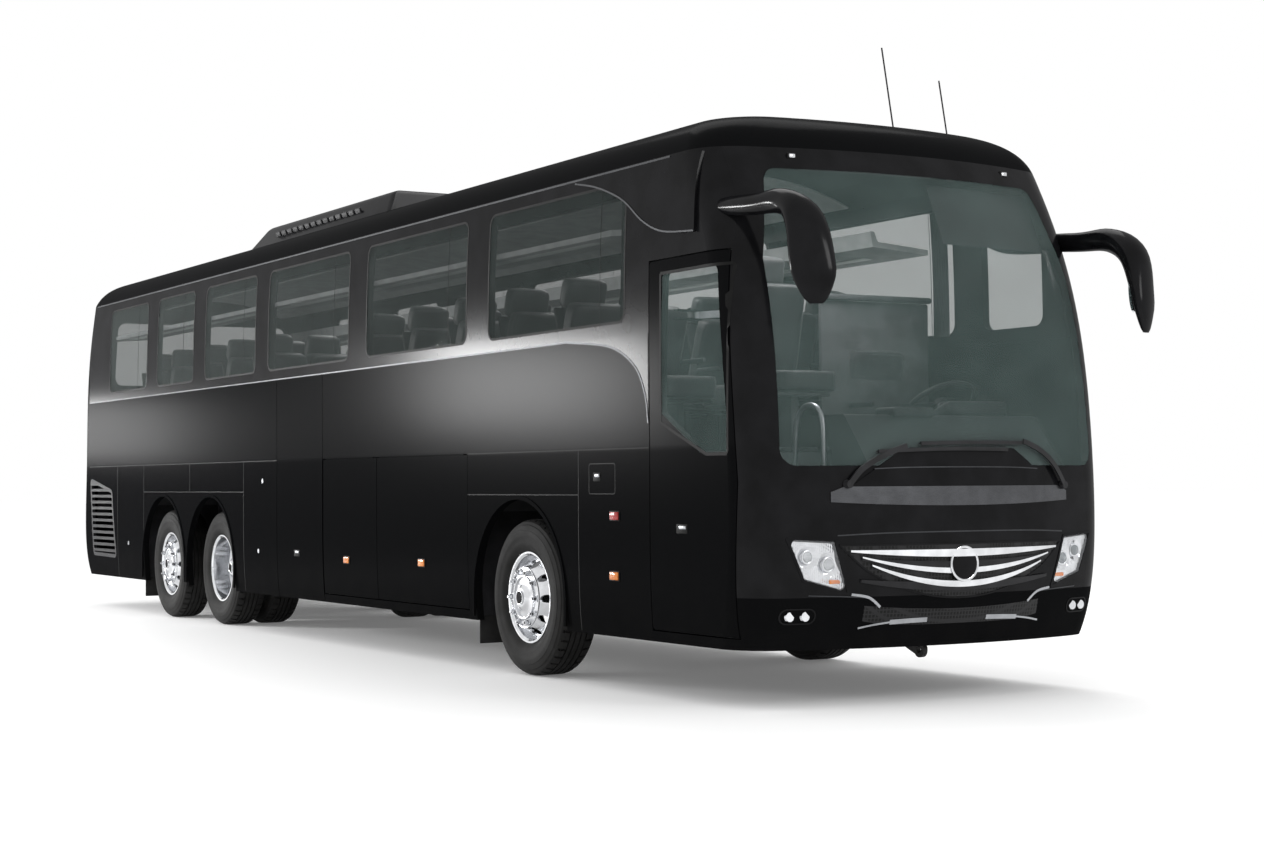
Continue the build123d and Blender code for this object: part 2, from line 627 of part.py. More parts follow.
DRIVE_TUBE = 85
DIFF_RADIUS = 215
drive_stub = DRIVE_WHEEL_Y + 10 - SEAT_GAP
drive = lengthwise(HUB_BORE, -drive_stub, drive_stub, DRIVE_X)
drive += lengthwise(DRIVE_TUBE, -560, 560, DRIVE_X)
drive += Pos(DRIVE_X, 0, TYRE_RADIUS) * Sphere(DIFF_RADIUS)
tag_stub = WHEEL_Y + TAG_CAP - 20 - SEAT_GAP
tag = lengthwise(HUB_BORE, -tag_stub, tag_stub, TAG_X)
tag += lengthwise(DRIVE_TUBE, -900, 900, TAG_X)
node("rear_axles", drive, tag)

# Wheel housings, open to the side and below
FRONT_HOUSING_HALF = 660
AXLE_NOTCH = 120
AXLE_NOTCH_TOP = 700


def housing(x0, x1, inner_y, side, top):
    """Folded sheet over the wheels: a roof with sloped ends and an inner wall."""
    outer_face = outline((x0, 360), (x0, top - 180), (x0 + 180, top), (x1 - 180, top), (x1, top - 180), (x1, 360))
    w = ARCH_WALL
    inner_face = outline(
        (x0 + w, 300), (x0 + w, top - 187), (x0 + 187, top - w), (x1 - 187, top - w), (x1 - w, top - 187), (x1 - w, 300)
    )
    sheet = across(outer_face, inner_y, FAR) - across(inner_face, inner_y + w, FAR + 10)
    for x in ARCHES:
        if x0 < x < x1:
            sheet -= block(x - AXLE_NOTCH, x + AXLE_NOTCH, inner_y - 1, inner_y + w + 1, 0, AXLE_NOTCH_TOP)
    sheet = sheet & INSIDE
    return sheet if side > 0 else mirrored(sheet)


HOUSING_TOP = 1250
housings = []
for side in (-1, 1):
    housings.append(housing(-FRONT_HOUSING_HALF, FRONT_HOUSING_HALF, FRONT_ARCH_INNER_Y, side, HOUSING_TOP))
    housings.append(housing(TAG_X - 660, DRIVE_X + 660, ARCH_INNER_Y, side, HOUSING_TOP))
node("wheel_housings", housings)

# Underframe: rails, bulkheads and luggage floor
RAIL_Y0, RAIL_Y1 = 290, 420
RAIL_LOW, RAIL_HIGH = 900, 1100
DECK_THICK = 40
DECK_LOW = DECK_TOP - DECK_THICK
INNER_Y = HALF_WIDTH
BULKHEAD_WALL = 25
BULKHEADS = [FLAPS[0][1] - 12, MID_DOOR[1] + PANEL_GAP, MID_DOOR[0] - PANEL_GAP - BULKHEAD_WALL]
FLOOR_THICK = 40
MID_WELL_Y = -450
CROSS = 60
bulkhead_end = BULKHEADS[0] + BULKHEAD_WALL
bay = [
    block(BULKHEADS[1], bulkhead_end, -INNER_Y, INNER_Y, LUGGAGE_FLOOR - FLOOR_THICK, LUGGAGE_FLOOR),
    block(BULKHEADS[2], BULKHEADS[1] - SEAM, MID_WELL_Y, INNER_Y, LUGGAGE_FLOOR - FLOOR_THICK, LUGGAGE_FLOOR),
]
for x in BULKHEADS:
    bay.append(block(x, x + BULKHEAD_WALL, -INNER_Y, INNER_Y, LUGGAGE_FLOOR + SEAM, DECK_LOW))


def frame_half(x0, x1, crosses, portals, springs):
    """Two rails with cross members, portals up to the deck, and the air springs' columns."""
    half = [block(x0, x1, y, y + RAIL_Y1 - RAIL_Y0, RAIL_LOW, RAIL_HIGH) for y in (-RAIL_Y1, RAIL_Y0)]
    half += [block(x, x + CROSS, -RAIL_Y1, RAIL_Y1, RAIL_LOW + 40, RAIL_HIGH - 1) for x in crosses]
    half += [block(x, x + CROSS, -RAIL_Y1, RAIL_Y1, RAIL_HIGH - 1, DECK_LOW) for x in portals]
    for x, seat in springs:
        for side in (-1, 1):
            half.append(upright((x, side * SPRING_Y), SPRING_RADIUS, seat + SEAT_GAP, RAIL_LOW + 1))
    return half[0].fuse(*half[1:])


SPRING_RADIUS = 60
tube_top = TYRE_RADIUS + DRIVE_TUBE
frame = frame_half(bulkhead_end + SEAM, 2300, (1100, 2200), (700,), [(0, BEAM_TOP)])
frame_rear = frame_half(-9500, BULKHEADS[2] - SEAM, (-4900, -6760, -8520), (-4700, -6760, -8520),
                        [(DRIVE_X, tube_top), (TAG_X, tube_top)])
# towing lug under the nose
TOW_X, TOW_Z, TOW_BORE, TOW_RADIUS, TOW_HALF = 2590, 285, 20, 45, 15
lug = outline((2230, 1090), (2300, 1090), (2300, 430), (2600, 330), (TOW_X, TOW_Z - 40), (2230, 380))
lug = lug + Pos(TOW_X, TOW_Z) * Circle(TOW_RADIUS)
lug -= Pos(TOW_X, TOW_Z) * Circle(TOW_BORE)
frame += across(lug, -TOW_HALF, TOW_HALF)
frame = frame & (INSIDE + block(2000, 2700, -100, 100, 200, 400))
node("underframe", frame, frame_rear & INSIDE, [plate & INSIDE for plate in bay])

# Floor: deck, driver's platform, and steps at both doors
STEP_Y = -450
MID_STEP_Y = -500
deck = block(-9880, 1250, -INNER_Y, INNER_Y, DECK_LOW, DECK_TOP)
deck -= block(MID_DOOR[0] + 15, MID_DOOR[1] - 15, -FAR, MID_STEP_Y, 0, 3000)
deck += block(1210, 1250, -INNER_Y, INNER_Y, PLATFORM_TOP - 40, DECK_TOP)
deck += block(1250, 2700, STEP_Y, INNER_Y, PLATFORM_TOP - 40, PLATFORM_TOP)
deck += block(1250, 1500, STEP_Y, 300, PLATFORM_TOP - 1, (PLATFORM_TOP + DECK_TOP) / 2)
# kerb-side entry: risers between the platform and the entry floor
ENTRY_STEPS = 3
well_x0, well_x1 = FRONT_DOOR[0] - 5, FRONT_DOOR[1] - 95
rise = (PLATFORM_TOP - ENTRY_FLOOR) / ENTRY_STEPS
tread = 215
for i in range(ENTRY_STEPS):
    y1 = STEP_Y - i * tread + 25
    y0 = STEP_Y - (i + 1) * tread if i < ENTRY_STEPS - 1 else -(HALF_WIDTH - DOOR_THICKNESS - 30)
    top = PLATFORM_TOP - (i + 1) * rise
    deck += block(well_x0, well_x1, y0, y1, top - 30, top)
    deck += block(well_x0, well_x1, y1 - 25, y1, top - 30, top + rise)
deck += block(well_x0 - 25, well_x0, -INNER_Y, STEP_Y + 25, ENTRY_FLOOR - 30, DECK_TOP)
deck += block(1210, well_x0, -INNER_Y, STEP_Y + 25, PLATFORM_TOP - 40, PLATFORM_TOP)
# mid entry
MID_STEPS = 4
mid_rise = (DECK_TOP - MID_ENTRY_FLOOR) / MID_STEPS
mid_tread = 190
mid_x0, mid_x1 = MID_DOOR[0] + 15, MID_DOOR[1] - 15
for i in range(MID_STEPS):
    y1 = MID_STEP_Y - i * mid_tread + 25
    y0 = MID_STEP_Y - (i + 1) * mid_tread if i < MID_STEPS - 1 else -(HALF_WIDTH - DOOR_THICKNESS - 30)
    top = DECK_TOP - (i + 1) * mid_rise
    deck += block(mid_x0, mid_x1, y0, y1, top - 30, top)
    deck += block(mid_x0, mid_x1, y1 - 25, y1, top - 30, top + mid_rise)
for x in (mid_x0, mid_x1, 1210):
    deck -= block(x, x + SEAM, -FAR, FAR, 0, GUTTER_HEIGHT)
node("cabin_floor", deck & INSIDE)

# Engine and gearbox as one block, behind the tag axle
engine_top = RAIL_LOW - SEAT_GAP
engine = block(-9700, -8560, -430, 430, 470, engine_top)
engine += block(-9650, -8640, -280, 280, engine_top - 1, 1330)
node("engine_block", engine)

# Seats. Columns: X of the cushion's rear, Y of the pair's middle, floor height, width
SEAT_PITCH = 800
SEAT_ROWS = 12
PAIR_Y = 740
PAIR_WIDTH = 880
SINGLE_WIDTH = 480


def seat(x, y, floor, width, leg):
    back = outline((0, 330), (-230, 1120), (-160, 1140), (110, 460), (430, 490), (450, 380), (100, 330))
    part = across(back, -width / 2, width / 2) + block(60, 360, -width / 2 + leg, width / 2 - leg, 0, 350)
    return Pos(x, y, floor) * part


seats = []
for i in range(SEAT_ROWS):
    x = 500 - i * SEAT_PITCH
    seats.append(seat(x, PAIR_Y, DECK_TOP + SEAT_GAP, PAIR_WIDTH, 150))
    if not MID_DOOR[0] - 300 < x < MID_DOOR[1] + 150:
        seats.append(seat(x, -PAIR_Y, DECK_TOP + SEAT_GAP, PAIR_WIDTH, 150))
seats.append(seat(1290, 640, PLATFORM_TOP + SEAT_GAP, SINGLE_WIDTH, 90))
node("seats", seats)

# Dashboard and steering wheel
dash_foot = PLATFORM_TOP + SEAT_GAP
dash_face = outline(
    (1960, 1500), (2080, 1640), (2450, 1640), (2700, 1330), (2560, dash_foot), (2330, dash_foot), (2330, 1450)
)
dash_face = rounded(dash_face, 30)
node("dashboard", across(dash_face, STEP_Y + 20, 1000))
WHEEL_TILT = 35
COLUMN_X, COLUMN_Y, COLUMN_Z = 1985, 640, 1720
wheel = Torus(225, 16) + Cylinder(55, 40) + Box(36, 440, 14) + Pos(-110, 0, 0) * Box(220, 36, 14)
wheel += Cylinder(35, 250, align=(Align.CENTER, Align.CENTER, Align.MAX))
wheel = Pos(COLUMN_X, COLUMN_Y, COLUMN_Z) * Rot(0, -WHEEL_TILT, 0) * wheel
node("steering_wheel", wheel - across(offset(dash_face, SEAT_GAP), 0, 1000))

# Luggage racks over the seats
rack_face = outline((760, 2790), (1300, 2750), (1300, 2785), (800, 2825), (770, 2890), (740, 2890))
rack = along(rack_face, -9500, 1150) & INSIDE
node("luggage_racks", rack, mirrored(rack))

# Mirrors: horn arms from the front roof corners, with hanging heads
right_arm = outline((2200, 2800), (2250, 2870), (2640, 2870), (3140, 2800), (3400, 2640), (3395, 2560), (3100, 2600), (2900, 2700))
right_head = outline((3095, 2190), (3075, 2620), (3200, 2640), (3405, 2600), (3430, 2170))
mirror_right = across(rounded(right_arm, 30), -1250, -1160) + across(rounded(right_head, 40), -1340, -1110)
left_arm = outline((2330, 2610), (2300, 2740), (2700, 2770), (2960, 2710), (3130, 2600), (3120, 2500), (2950, 2560))
left_head = outline((3000, 2120), (2960, 2560), (3080, 2600), (3190, 2560), (3230, 2150))
mirror_left = across(rounded(left_arm, 30), 1160, 1270) + across(rounded(left_head, 35), 1190, 1400)
node("mirrors", mirror_right - OUTSIDE, mirror_left - OUTSIDE)

# Whip antennas on the roof
antennas = []
for x, y, z, length in ((1845, 409, 3385, 550), (1652, 1000, 3330, 480)):
    antennas.append(Pos(x, y, z) * Cylinder(22, 40, align=(Align.CENTER, Align.CENTER, Align.MIN))
                    + Pos(x, y, z + 38) * Rot(0, -12, 0) * Cylinder(5, length, align=(Align.CENTER, Align.CENTER, Align.MIN)))
node("antennas", [a - roof_form(-SEAT_GAP) for a in antennas])

# Wipers lying on the foot of the windscreen
wiper_skin = body_form(-22) - OUTSIDE
wiper_faces = [outline((-900, 1375), (60, 1440), (60, 1465), (-900, 1400)), outline((120, 1380), (1000, 1440), (1000, 1465), (120, 1405))]
node("wipers", [wiper_skin & along(face, 2450, 3500) for face in wiper_faces])

os.makedirs(OUT, exist_ok=True)
for name, found in pieces.items():
    moved = [Pos(FRONT_AXLE_X, 0, 0) * piece for piece in found]
    export_step(Compound(moved), f"{OUT}/{name}.step")
print(len(pieces), "nodes; front axle at X", FRONT_AXLE_X)
print("flap hinges at Y", round(flap_hinge_y, 3), "Z", flap_hinge_z)
print("lid hinge at X", round(lid_hinge_x + FRONT_AXLE_X, 3), "Z", lid_hinge_z)
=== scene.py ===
# %% [markdown]
# # A three-axle touring coach in Blender
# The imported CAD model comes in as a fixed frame: every panel, door, wheel and seat row is already in
# its real place, in metres, with X forward, Y to the left and Z up. This notebook dresses that frame.
# It gives each part a finish, and models the small pieces that a CAD model leaves out.

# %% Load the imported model
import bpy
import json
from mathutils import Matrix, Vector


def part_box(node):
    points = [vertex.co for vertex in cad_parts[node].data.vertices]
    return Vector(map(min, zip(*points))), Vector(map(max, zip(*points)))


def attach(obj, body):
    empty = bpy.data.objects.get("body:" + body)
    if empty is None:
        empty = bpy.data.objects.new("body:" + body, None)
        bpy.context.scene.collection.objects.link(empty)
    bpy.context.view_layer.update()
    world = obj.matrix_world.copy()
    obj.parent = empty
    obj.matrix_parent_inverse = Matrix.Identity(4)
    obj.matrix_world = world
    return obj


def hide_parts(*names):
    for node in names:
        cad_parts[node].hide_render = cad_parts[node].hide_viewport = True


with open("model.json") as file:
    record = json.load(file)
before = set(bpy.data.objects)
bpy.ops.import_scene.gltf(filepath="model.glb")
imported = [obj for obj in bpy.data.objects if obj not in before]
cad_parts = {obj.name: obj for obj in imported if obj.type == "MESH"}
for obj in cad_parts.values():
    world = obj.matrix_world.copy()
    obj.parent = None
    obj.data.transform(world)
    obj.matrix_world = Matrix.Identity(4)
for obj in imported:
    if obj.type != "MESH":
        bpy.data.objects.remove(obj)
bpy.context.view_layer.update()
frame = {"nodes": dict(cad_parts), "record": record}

# %% [markdown]
# ## Tools for the rest of the notebook
# Blender's own Python module is bpy. The bmesh module edits meshes, and mathutils has vectors and
# matrices. The constants below are the few sizes of the coach that many pieces share. Three helpers
# save much typing later: one gives a turn about an axis, one fills a shader node's inputs, by a link
# or by a plain value, and one adds such a node.

# %% Modules and shared sizes
import json
import math
import bmesh
import bpy
from mathutils import Matrix, Vector
from mathutils.bvhtree import BVHTree

FRONT_AXLE = 3.405
SIDE = 1.275
AXLE_HEIGHT = 0.51
ORIGIN = (0.0, 0.0, 0.0)
WHITE = (1.0, 1.0, 1.0, 1.0)


def turn_about(axis, degrees, size=3):
    return Matrix.Rotation(math.radians(degrees), size, axis)


def set_inputs(node, inputs):
    """Link each input that is given another node's output, and set every other one."""
    for socket, value in inputs.items():
        if isinstance(value, bpy.types.NodeSocket):
            node.id_data.links.new(value, node.inputs[socket])
        else:
            node.inputs[socket].default_value = value


def add_node(tree, kind, inputs=None, operation=None):
    node = tree.nodes.new("ShaderNode" + kind)
    if operation:
        node.operation = operation
    set_inputs(node, inputs or {})
    return node


print("body is", round(2 * SIDE, 3), "m wide, front axle at x", FRONT_AXLE)

# %% [markdown]
# ## The camera
# The photograph was taken from the right front corner, a little below the middle of the coach, with a
# moderate telephoto lens. The camera could be aimed with a Track To constraint, but then its slight
# roll would be lost. So its three axes are worked out from yaw, pitch and roll, and written into its
# matrix.

# %% Set up the camera
CAMERA_PLACE = Vector((15.715, -7.558, 1.249))
CAMERA_YAW = math.radians(149.848)
CAMERA_PITCH = math.radians(1.692)
CAMERA_ROLL = math.radians(-0.35)
CAMERA_LENS = 60.24


def camera_axes(yaw, pitch, roll):
    level = math.cos(pitch)
    forward = Vector((math.cos(yaw) * level, math.sin(yaw) * level, math.sin(pitch)))
    right = Vector((math.sin(yaw), -math.cos(yaw), 0.0))
    up = right.cross(forward)
    rolled_right = right * math.cos(roll) + up * math.sin(roll)
    rolled_up = up * math.cos(roll) - right * math.sin(roll)
    return rolled_right, rolled_up, -forward


camera_data = bpy.data.cameras.new("photo_camera")
camera_data.lens = CAMERA_LENS
camera_data.sensor_width = 36.0
camera_data.sensor_fit = "HORIZONTAL"
camera_data.clip_end = 400.0
camera = bpy.data.objects.new("photo_camera", camera_data)
bpy.context.scene.collection.objects.link(camera)
camera.matrix_world = (
    Matrix.Translation(CAMERA_PLACE)
    @ Matrix(camera_axes(CAMERA_YAW, CAMERA_PITCH, CAMERA_ROLL)).transposed().to_4x4()
)
bpy.context.scene.camera = camera
print("camera at", [round(v, 2) for v in CAMERA_PLACE], "lens", CAMERA_LENS, "mm")

# %% [markdown]
# ## Studio: background, floor and lamps
# A dark coach on white needs two things at once: a white surround, and reflections that stay soft. The
# world is white to the camera and in reflections, through the Light Path node, while the light that it
# sheds on matt surfaces is a plain level of its own. Two long lamps stand to the right, where the
# upper side panel mirrors them as the two soft gleams of the photograph.

# %% World and floor
SURROUND_LIGHT = 0.95
FLOOR_SIZE = 160.0
FLOOR_GLOW = 0.13
FLOOR_COLOUR = 0.92

scene = bpy.context.scene
scene.view_settings.view_transform = "Standard"
world = bpy.data.worlds.new("white_studio")
scene.world = world
world.use_nodes = True
world_tree = world.node_tree
world_tree.nodes.clear()


def seen_directly(tree):
    """1 for camera, glossy and transmission rays, 0 for light on matt surfaces."""
    rays = add_node(tree, "LightPath").outputs
    first = add_node(tree, "Math", {0: rays["Is Camera Ray"], 1: rays["Is Glossy Ray"]}, "MAXIMUM")
    both = {0: first.outputs[0], 1: rays["Is Transmission Ray"]}
    return add_node(tree, "Math", both, "MAXIMUM").outputs[0]


surround = add_node(world_tree, "Background", {"Strength": SURROUND_LIGHT, "Color": WHITE})
backdrop = add_node(world_tree, "Background", {"Strength": 1.0, "Color": WHITE})
chosen = add_node(world_tree, "MixShader", {
    "Fac": seen_directly(world_tree), 1: surround.outputs[0], 2: backdrop.outputs[0],
})
add_node(world_tree, "OutputWorld", {"Surface": chosen.outputs[0]})

floor_mesh = bpy.data.meshes.new("studio_floor")
floor_bm = bmesh.new()
bmesh.ops.create_grid(floor_bm, x_segments=1, y_segments=1, size=FLOOR_SIZE)
floor_bm.to_mesh(floor_mesh)
floor_bm.free()
studio_floor = bpy.data.objects.new("studio_floor", floor_mesh)
scene.collection.objects.link(studio_floor)
floor_material = bpy.data.materials.new("pale_floor")
floor_material.use_nodes = True
floor_tree = floor_material.node_tree
floor_tree.nodes.clear()
matt = add_node(floor_tree, "BsdfDiffuse", {"Color": (FLOOR_COLOUR, FLOOR_COLOUR, FLOOR_COLOUR, 1.0)})
level = add_node(floor_tree, "Math", {0: seen_directly(floor_tree), 1: FLOOR_GLOW}, "MULTIPLY")
glow = add_node(floor_tree, "Emission", {"Color": WHITE, "Strength": level.outputs[0]})
both = add_node(floor_tree, "AddShader", {0: matt.outputs[0], 1: glow.outputs[0]})
add_node(floor_tree, "OutputMaterial", {"Surface": both.outputs[0]})
floor_mesh.materials.append(floor_material)
print("studio floor", 2 * FLOOR_SIZE, "m across")

# %% Lamps
# name, place, aimed at, width, height, watts
LAMPS = [
    ("front_gleam", (-8.0, -7.4, 2.5), (3.9, -SIDE, 1.85), 2.6, 1.1, 620.0),
    ("rear_gleam", (-16.0, -4.2, 2.1), (-5.4, -SIDE, 1.75), 2.2, 0.9, 140.0),
    ("ceiling_lamp", (-2.0, 3.0, 11.0), (0.5, 0.0, 0.0), 9.0, 6.0, 600.0),
    ("nose_lamp", (14.0, 3.0, 5.0), (6.3, 0.0, 1.0), 3.0, 2.0, 160.0),
    ("cabin_lamp", (0.0, 0.0, 3.15), (0.0, 0.0, 1.4), 9.0, 0.5, 70.0),
    ("entry_lamp", (5.1, -0.2, 2.95), (5.1, -0.1, 1.4), 0.5, 1.2, 22.0),
]


def add_lamp(name, place, target, width, height, watts):
    data = bpy.data.lights.new(name, "AREA")
    data.shape = "RECTANGLE"
    data.size = width
    data.size_y = height
    data.energy = watts
    lamp = bpy.data.objects.new(name, data)
    lamp.location = place
    lamp.rotation_euler = (Vector(target) - Vector(place)).to_track_quat("-Z", "Y").to_euler()
    lamp.visible_camera = False
    scene.collection.objects.link(lamp)


for lamp_row in LAMPS:
    add_lamp(*lamp_row)
print(len(LAMPS), "lamps")

# %% [markdown]
# ## Materials
# All finishes start from the Principled shader. A number that is the same all over a surface is typed
# into the shader's own socket. What varies, such as grain, flakes or dust, comes from textures on
# Object coordinates: since every piece has its place in its mesh, one metre of texture is one metre
# of coach, on each piece alike.

# %% Helpers for materials
def start_material(name, settings):
    material = bpy.data.materials.new(name)
    material.use_nodes = True
    shader = material.node_tree.nodes["Principled BSDF"]
    set_inputs(shader, settings)
    return material, material.node_tree, shader


def object_place(tree):
    return add_node(tree, "TexCoord").outputs["Object"]


def noise_of(tree, scale, detail=2.0, stretch=None):
    """Cloudy noise with features of 1 / scale metres; stretch scales each axis first."""
    place = object_place(tree)
    if stretch:
        place = add_node(tree, "Mapping", {"Scale": stretch, "Vector": place}).outputs["Vector"]
    noise = add_node(tree, "TexNoise", {"Scale": scale, "Detail": detail, "Vector": place})
    return noise.outputs["Fac"]


def ramp_of(tree, factor, low, high, start=0.35, end=0.65):
    """A colour that goes from low to high as the factor goes from start to end."""
    ramp = add_node(tree, "ValToRGB", {"Fac": factor})
    for element, place, colour in zip(ramp.color_ramp.elements, (start, end), (low, high)):
        element.position = place
        element.color = (*colour, 1.0)
    return ramp.outputs["Color"]


def range_of(tree, factor, low, high, start=0.35, end=0.65):
    """A number that goes from low to high as the factor goes from start to end."""
    return add_node(tree, "MapRange", {
        "From Min": start, "From Max": end, "To Min": low, "To Max": high, "Value": factor,
    }).outputs["Result"]


def height_of(tree):
    return add_node(tree, "SeparateXYZ", {"Vector": object_place(tree)}).outputs["Z"]


def bump_from(tree, shader, height, distance, strength=1.0, socket="Normal"):
    bump = add_node(tree, "Bump", {"Strength": strength, "Distance": distance, "Height": height})
    set_inputs(shader, {socket: bump.outputs["Normal"]})


def cells_of(tree, scale, randomness=1.0):
    """The distance to the nearest edge of a pattern of cells, each 1 / scale metres across."""
    cells = add_node(tree, "TexVoronoi", {
        "Scale": scale, "Randomness": randomness, "Vector": object_place(tree),
    })
    cells.feature = "DISTANCE_TO_EDGE"
    return cells.outputs["Distance"]


print("material helpers ready")

# %% [markdown]
# ### Paint
# The coach is black metallic with a clear coat that is a little soft. A base that is almost black,
# with fine flakes that vary its tone, sits under a thin coat: the coat's weight keeps mirror images
# faint, and its roughness spreads the lamps into gleams. Road dust lightens the lowest panels.

# %% Body paint and gloss black
PAINT_DARK = (0.0022, 0.0023, 0.0026)
PAINT_FLAKE = (0.006, 0.0062, 0.0068)
ROAD_DUST = (0.06, 0.056, 0.05)
SEAM_HEIGHT = 1.457
COAT_ABOVE = 0.05
COAT_BELOW = 0.022
COAT_BLEND = 0.02
DUST_FOOT = 0.28
# a colour mix has its two colours at these inputs and its result at this output
MIX_FIRST, MIX_SECOND, MIX_RESULT = 6, 7, 2


def dusty(tree, colour, top=0.75, amount=0.04):
    """Road dust that fades out with height."""
    low_down = range_of(tree, height_of(tree), amount, 0.0, DUST_FOOT, top)
    patches = range_of(tree, noise_of(tree, 6.0, 4.0), 0.4, 1.0)
    patchy = add_node(tree, "Math", {0: low_down, 1: patches}, "MULTIPLY").outputs[0]
    mix = add_node(tree, "Mix")
    mix.data_type = "RGBA"
    set_inputs(mix, {"Factor": patchy, MIX_FIRST: colour, MIX_SECOND: (*ROAD_DUST, 1.0)})
    return mix.outputs[MIX_RESULT]


def make_paint():
    material, tree, shader = start_material("black_metallic_paint", {
        "Roughness": 0.45, "Specular IOR Level": 0.0, "Coat Roughness": 0.2, "Coat IOR": 1.5,
    })
    gloss = range_of(tree, height_of(tree), COAT_BELOW, COAT_ABOVE,
                     SEAM_HEIGHT - COAT_BLEND, SEAM_HEIGHT + COAT_BLEND)
    flakes = ramp_of(tree, noise_of(tree, 1400.0, 1.0), PAINT_DARK, PAINT_FLAKE, 0.4, 0.68)
    set_inputs(shader, {
        "Coat Weight": gloss, "Base Color": dusty(tree, flakes),
        "Roughness": range_of(tree, noise_of(tree, 3.0, 3.0), 0.4, 0.5),
    })
    bump_from(tree, shader, noise_of(tree, 90.0, 2.0), 0.00006, socket="Coat Normal")
    return material


def make_gloss_black():
    material, tree, shader = start_material("gloss_black_panel", {
        "Roughness": 0.2, "Specular IOR Level": 0.0,
        "Coat Weight": 0.2, "Coat Roughness": 0.16, "Coat IOR": 1.5,
    })
    tone = ramp_of(tree, noise_of(tree, 5.0, 3.0), (0.004, 0.004, 0.0045), (0.008, 0.008, 0.009))
    set_inputs(shader, {
        "Base Color": dusty(tree, tone, 0.7, 0.06),
        "Roughness": range_of(tree, noise_of(tree, 40.0, 2.0), 0.16, 0.26),
    })
    return material


paint = make_paint()
gloss_black = make_gloss_black()
print("paint:", paint.name, "and", gloss_black.name)

# %% [markdown]
# ### Glass
# Coach glass is tinted grey-green, darker at the sides than in front. Refracting glass would need
# light to bend through two walls and make the cabin noisy and dark, so the panes are thin surfaces
# with an alpha below one: part of the light passes straight on, and the rest meets a dark, shiny
# surface. A pane in the CAD model has two faces, so a look through it passes the alpha twice.

# %% Tinted panes
def make_pane(name, alpha, tint):
    material, tree, shader = start_material(name, {
        "Roughness": 0.03, "Specular IOR Level": 0.04, "Alpha": alpha, "IOR": 1.5,
    })
    smears = noise_of(tree, 2.5, 5.0, (1.0, 1.0, 2.0))
    light_tint = tuple(min(1.0, 1.3 * part) for part in tint)
    set_inputs(shader, {
        "Base Color": ramp_of(tree, smears, tint, light_tint),
        "Roughness": range_of(tree, smears, 0.02, 0.06),
    })
    return material


side_glass = make_pane("tinted_side_glass", 0.36, (0.036, 0.046, 0.044))
screen_glass = make_pane("clear_screen_glass", 0.18, (0.13, 0.18, 0.172))
print("two panes:", side_glass.name, "and", screen_glass.name)

# %% [markdown]
# ### Metals, rubber and plastics
# Polished wheels mirror the room, so they get full metallic and little roughness, with fine turning
# marks. Castings and frame parts are rougher. Rubber is dark and matt with a fine grain, and the
# plastics differ only in tone and in how coarse their grain is. One function covers each family.

# %% Metals
def make_metal(name, tone, roughness, grain_scale=300.0, grain_depth=0.00002, stretch=None):
    material, tree, shader = start_material(name, {"Metallic": 1.0, "Roughness": roughness})
    grain = noise_of(tree, grain_scale, 3.0, stretch)
    worn = tuple(0.82 * part for part in tone)
    set_inputs(shader, {
        "Base Color": ramp_of(tree, noise_of(tree, 12.0, 4.0), worn, tone),
        "Roughness": range_of(tree, grain, 0.8 * roughness, 1.3 * roughness),
    })
    bump_from(tree, shader, grain, grain_depth)
    return material


polished_alloy = make_metal("polished_alloy", (0.78, 0.79, 0.81), 0.16, 220.0)
bright_trim = make_metal("bright_chrome", (0.72, 0.73, 0.75), 0.1, 150.0)
satin_steel = make_metal("satin_steel", (0.42, 0.43, 0.45), 0.35, 400.0, 0.00003, (1.0, 1.0, 0.1))
dark_silver = make_metal("dark_silver_band", (0.09, 0.092, 0.098), 0.3, 500.0, 0.00002, (0.05, 0.05, 1.0))
cast_grey = make_metal("cast_engine_grey", (0.16, 0.165, 0.17), 0.55, 60.0, 0.0004)
print("five metals")


# %% Plastics, rubber and frame paint
def make_plastic(name, dark, light, roughness, grain_scale, grain_depth, specular=0.3, dust=0.0):
    material, tree, shader = start_material(name, {
        "Roughness": roughness, "Specular IOR Level": specular,
    })
    grain = noise_of(tree, grain_scale, 3.0)
    tone = ramp_of(tree, noise_of(tree, 8.0, 4.0), dark, light)
    if dust:
        tone = dusty(tree, tone, 1.1, dust)
    spread = range_of(tree, grain, 0.85 * roughness, 1.1 * roughness)
    set_inputs(shader, {"Base Color": tone, "Roughness": spread})
    bump_from(tree, shader, grain, grain_depth)
    return material


# dark tone, light tone, roughness, grain scale, grain depth, specular, dust
tyre_rubber = make_plastic(
    "tyre_rubber", (0.010, 0.010, 0.010), (0.018, 0.018, 0.018), 0.75, 400.0, 0.0002, 0.15, 0.10)
seal_rubber = make_plastic(
    "seal_rubber", (0.006, 0.006, 0.006), (0.010, 0.010, 0.010), 0.6, 500.0, 0.0001, 0.1)
dark_trim = make_plastic(
    "grained_dark_trim", (0.012, 0.012, 0.013), (0.020, 0.020, 0.022), 0.55, 700.0, 0.0002, 0.2)
frame_paint = make_plastic(
    "frame_paint", (0.012, 0.012, 0.013), (0.022, 0.021, 0.020), 0.5, 120.0, 0.0003, 0.25, 0.25)
floor_covering = make_plastic(
    "cabin_floor_covering", (0.05, 0.05, 0.053), (0.085, 0.085, 0.09), 0.6, 900.0, 0.0001)
ceiling_cloth = make_plastic(
    "pale_rack_lining", (0.34, 0.35, 0.35), (0.44, 0.45, 0.45), 0.7, 600.0, 0.0002)
red_lens = make_plastic(
    "red_lens", (0.28, 0.008, 0.008), (0.42, 0.014, 0.012), 0.15, 90.0, 0.0006, 0.5)
